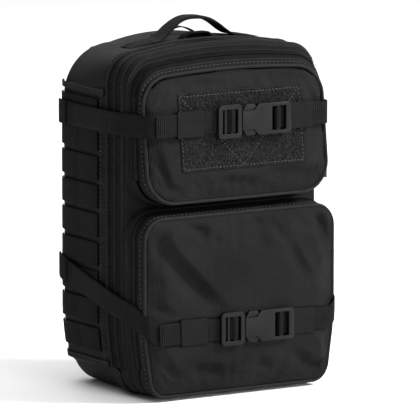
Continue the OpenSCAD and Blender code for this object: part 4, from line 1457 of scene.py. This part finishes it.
yoke_rows = []
for t in np.linspace(0, 1, 24):
    z = 0.4425 - 0.030 * t
    x = np.linspace(-0.100, 0.100, 90)
    puff = 0.0024 * np.sin(np.pi * np.clip(np.minimum(t, 1 - t) * 4, 0, 0.5)) * np.sin(
        np.pi * np.clip((0.100 - np.abs(x)) / 0.02, 0, 0.5))
    lying = np.array([back_at(v, z) for v in x])
    yoke_rows.append(np.stack([x, lying + puff, np.full(90, z)], 1)[::-1])
yoke = lay_grid("yoke_panel", yoke_rows, thick=1.0 * mm)
finish_piece(yoke, strap_nylon, "rear_shell", ("harness_yoke",))
yoke_runs = []
for side in (-1, 1):
    x0, x1 = side * 0.040, side * 0.094
    for a, b in (((x0, 0.4385), (x1, 0.4385)), ((x0, 0.4165), (x1, 0.4165)), ((x0, 0.4385), (x0, 0.4165)),
                 ((x1, 0.4385), (x1, 0.4165)), ((x0, 0.4385), (x1, 0.4165)), ((x0, 0.4165), (x1, 0.4385))):
        places = [between(a, b, t) for t in np.linspace(0, 1, 9)]
        yoke_runs.append(([np.array([x, back_at(x, z) + 0.0026, z]) for x, z in places], [(0, 1, 0)] * 9))
finish_piece(set_down("yoke_stitches", stitch_form, yoke_runs, 4 * mm), thread_nylon, "rear_shell")

# %% [markdown]
# ## Shoulder straps
# Each shoulder strap is a foam strip 60 mm wide, fuller in the middle than at its bound edges, that curves
# out from the yoke and down to a ladder lock. A webbing daisy chain is sewn along its outside.

# %% Shoulder straps
shoulder_path = [(0, 0.0906, 0.4302), (0, 0.1120, 0.4165), (0, 0.1320, 0.3800), (0, 0.1420, 0.3280),
                 (0, 0.1420, 0.2680), (0, 0.1320, 0.2080), (0, 0.1200, 0.1580)]


def shoulder_line(count):
    return rounded_path(shoulder_path, count, 4)


def shoulder_strap(side):
    count = 150
    path = shoulder_line(count)
    ahead = np.gradient(path, axis=0)
    ahead /= np.linalg.norm(ahead, axis=1)[:, None]
    out = np.cross(ahead, (1.0, 0, 0))
    out *= np.sign(out[count // 2, 1])
    rows = []
    for i in range(count):
        t = i / (count - 1)
        half = 0.0295 - 0.0085 * ease((t - 0.82) / 0.18) - 0.0012 * math.sin(math.pi * t)
        thick = 0.0050 * (0.28 + 0.72 * ease(t / 0.06) * ease((1 - t) / 0.07))
        dimple = 0.0009 * math.cos(2 * math.pi * i / 25.0) * ease(t / 0.1)
        ring = []
        for a in np.linspace(0, 2 * math.pi, 65):
            c, s = math.cos(a), math.sin(a)
            w = half * math.copysign(abs(c) ** 0.62, c)
            d = thick * math.copysign(abs(s) ** 0.75, s)
            d += (dimple if s > 0 else 0.4 * dimple) * (1 - (w / half) ** 2)
            wrinkle = 0.0007 * noise.noise((w * 50, t * 26, side * 3.0))
            ring.append(np.array([side * 0.066 + w, 0, 0]) + path[i] + out[i] * (d + wrinkle))
        rows.append(ring)
    piece = lay_grid("shoulder", rows, round_u=True)
    weld(piece, outwards=True, fill=True)
    bound = []
    for edge in (-1, 1):
        line = []
        for i in range(4, count - 3, 3):
            t = i / (count - 1)
            half = 0.0295 - 0.0085 * ease((t - 0.82) / 0.18) - 0.0012 * math.sin(math.pi * t)
            line.append(np.array([side * 0.066 + edge * (half - 0.0006), 0, 0]) + path[i])
        bound.append(strip("bound", line, (1, 0, 0), 0.0042, 0.0046, count=110, passes=1))
    chain = []
    for i in range(8, count - 14):
        step = (i - 8) % 20
        wave = 0.0022 * math.sin(math.pi * step / 20)
        lift = 0.0062 + wave - 0.002 * (i > count - 24) * (i - count + 24) / 10
        chain.append(np.array([side * 0.066, 0, 0]) + path[i] + out[i] * lift)
    daisy = strip("daisy", chain, (1, 0, 0), 0.025, 0.0015, count=120, passes=0)
    tacks = []
    for i in range(8, count - 14, 20):
        centre = np.array([side * 0.066, 0, 0]) + path[i] + out[i] * 0.0074
        tacks.append(([centre + (-0.010, 0, 0), centre + (0.010, 0, 0)], [out[i]] * 2))
    seams = []
    for edge in (-1, 1):
        line = [np.array([side * 0.066 + edge * 0.0235, 0, 0]) + path[i] + out[i] * 0.0047
                for i in range(10, count - 22)]
        seams.append((line, [out[i] for i in range(10, count - 22)]))
    return piece, bound, daisy, tacks, seams


parts = [shoulder_strap(side) for side in (-1, 1)]
shoulders = finish_piece(join("shoulder_pads", [p[0] for p in parts]), strap_nylon, "harness",
                         ("shoulder_straps",), angle=60)
finish_piece(join("shoulder_bindings", [b for p in parts for b in p[1]]), edge_tape, "harness")
finish_piece(join("shoulder_daisy_chains", [p[2] for p in parts]), webbing_nylon, "harness")
finish_piece(set_down("shoulder_stitches", stitch_form, [r for p in parts for r in p[3] + p[4]], 4.0 * mm),
             thread_nylon, "harness")

# %% Lower webbing
lower_runs = []
for side in (-1, 1):
    path = [(0.066, 0.1200, 0.1375), (0.069, 0.1185, 0.1250), (0.078, 0.1110, 0.1030),
            (0.088, 0.1036, 0.0775), (0.096, 0.0945, 0.0560), (0.100, 0.0900, 0.0440),
            (0.100, 0.0892, 0.0270)]
    path = [np.array([side * x, y, z]) for x, y, z in path]
    lower_runs.append(strip("lower", path, (1, 0, 0), 0.0250, 0.0015, count=80, passes=3))
finish_piece(join("harness_lower_webbing", lower_runs), webbing_nylon, None, ("harness_webbing",))
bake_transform(bpy.data.objects["harness_lower_webbing"])

lock_loops, hem_runs = [], []
for side in (-1, 1):
    loop = [(0.066, 0.1240, 0.1620), (0.066, 0.1215, 0.1545), (0.066, 0.1185, 0.1525),
            (0.066, 0.1160, 0.1545), (0.066, 0.1170, 0.1600), (0.066, 0.1225, 0.1660)]
    lock_loops.append(strip("loop", [np.array([side * x, y, z]) for x, y, z in loop], (1, 0, 0), 0.0245,
                            0.0014, count=40, passes=2))
    for z in (0.030, 0.040):
        hem_runs.append(([np.array([side * 0.0895, 0.0903, z]), np.array([side * 0.1105, 0.0903, z])],
                         [(0, 1, 0)] * 2))
finish_piece(join("ladder_lock_loops", lock_loops), webbing_nylon, "harness")
finish_piece(set_down("lower_webbing_tacks", stitch_form, hem_runs, 3.4 * mm), thread_nylon, "rear_shell")

# %% Sternum strap
sternum_parts = []
for x0, x1 in ((-0.086, -0.0245), (0.0300, 0.086)):
    path = [np.array([x, 0.1480 + 0.0006 * math.sin(math.pi * t), 0.310 - 0.0008 * math.sin(math.pi * t)])
            for t, x in zip(np.linspace(0, 1, 12), np.linspace(x0, x1, 12))]
    sternum_parts.append(strip("sternum", path, (0, 0, 1), 0.0200, 0.0013, count=30, passes=0))
finish_piece(join("sternum_webbing", sternum_parts), webbing_nylon, "harness", ("sternum_strap",))

# %% [markdown]
# ## Inside the compartment
# With the front open the lining shows: foam against the back, the frame sheet behind it, and a flat sleeve
# for a water bladder. The sleeve is one sheet of lining sewn down at its sides and foot.

# %% Inside
def slab(name, params, y_back, thick, edge, count=200):
    """A flat pad or plate with rounded edges, its back at y_back."""
    rows = []
    steps = [(0.100, 0.0), (0.040, 0.0), (edge, 0.0)]
    steps += [(edge * (1 - math.sin(a)), thick / 2 * (1 - math.cos(a)))
              for a in np.radians((30, 60, 90, 120, 150))]
    steps += [(edge, thick), (0.040, thick), (0.100, thick)]
    for inset, lift in steps:
        q = shape(inset_by(params, inset), count)
        rows.append(np.stack([q[:, 0], np.full(count, y_back - lift), q[:, 1]], 1))
    piece = lay_grid(name, rows, round_u=True)
    weld(piece, outwards=True, fill=True)
    return piece


sheet_plate = slab("frame_sheet_plate", (0.124, 0.030, 0.424, 0.034, 0.052, 0.006), 0.0838, 0.0014, 0.0006)
finish_piece(sheet_plate, frame_plastic, "rear_shell", ("frame_sheet",))
foam = slab("compartment_foam", (0.128, 0.014, 0.428, 0.036, 0.054, 0.006), 0.0820, 0.0050, 0.0035)
finish_piece(foam, lining_nylon, "rear_shell", ("back_foam",), angle=60)
rows = []
for v in np.linspace(0.400, 0.050, 70):
    x = np.linspace(-0.120, 0.120, 60)
    slack = (v - 0.05) / 0.35
    wave = 0.0007 * np.sin(x * 60 + v * 30) * slack + 0.0005 * np.array([noise.noise((q * 26, v * 26, 2))
                                                                         for q in x])
    rows.append(np.stack([x, 0.0766 - np.abs(wave), np.full(60, v)], 1))
sleeve = finish_piece(lay_grid("bladder_sleeve", rows, thick=0.5 * mm), lining_nylon, "rear_shell",
                      ("hydration_sleeve",))
sleeve_hem = strip("sleeve_hem", [np.array([x, 0.0764, 0.398]) for x in np.linspace(-0.120, 0.120, 30)],
                   (0, 0, 1), 0.014, 0.0012, count=30, passes=0)
finish_piece(sleeve_hem, edge_tape, "rear_shell")

# %% [markdown]
# ## Floor and light
# The floor is a plain pale sheet under a wide soft ceiling. The key light stands high on the right, a low
# one in front evens out the pocket faces, and a weak one behind lights the harness.

# %% Floor and light
nothing_selected()
bpy.ops.mesh.primitive_plane_add(size=30, location=(0, 0, -0.0005))
floor = bpy.context.active_object
floor.name = floor.data.name = "floor"
floor_finish, _, floor_shader = new_material("pale studio floor", 0.9, specular=0.1)
floor_shader.inputs["Base Color"].default_value = linear("#fdfdfd")
floor.data.materials.append(floor_finish)


def soft_light(name, at, target, size, power):
    data = bpy.data.lights.new(name, "AREA")
    data.shape = "DISK"
    data.size = size
    data.energy = power
    light = bpy.data.objects.new(name, data)
    bpy.context.scene.collection.objects.link(light)
    light.location = at
    light.rotation_mode = "QUATERNION"
    light.rotation_quaternion = (Vector(target) - Vector(at)).to_track_quat("-Z", "Y")


soft_light("key_light", (2.5, -2.0, 2.5), (0, 0, 0.24), size=1.1, power=235)
soft_light("front_light", (0.4, -6.0, 1.3), (0, 0, 0.2), size=2.0, power=180)
soft_light("ceiling_light", (0.5, 0.8, 6.0), (0.5, 0.8, 0), size=12.0, power=510)
soft_light("back_light", (0.6, 2.6, 2.0), (0, 0, 0.26), size=1.6, power=24)
sky = bpy.data.worlds.new("studio")
bpy.context.scene.world = sky
sky.use_nodes = True
sky.node_tree.nodes["Background"].inputs["Color"].default_value = linear("#fbfbfb")
sky.node_tree.nodes["Background"].inputs["Strength"].default_value = 0.2
bpy.context.scene.view_settings.view_transform = "Standard"
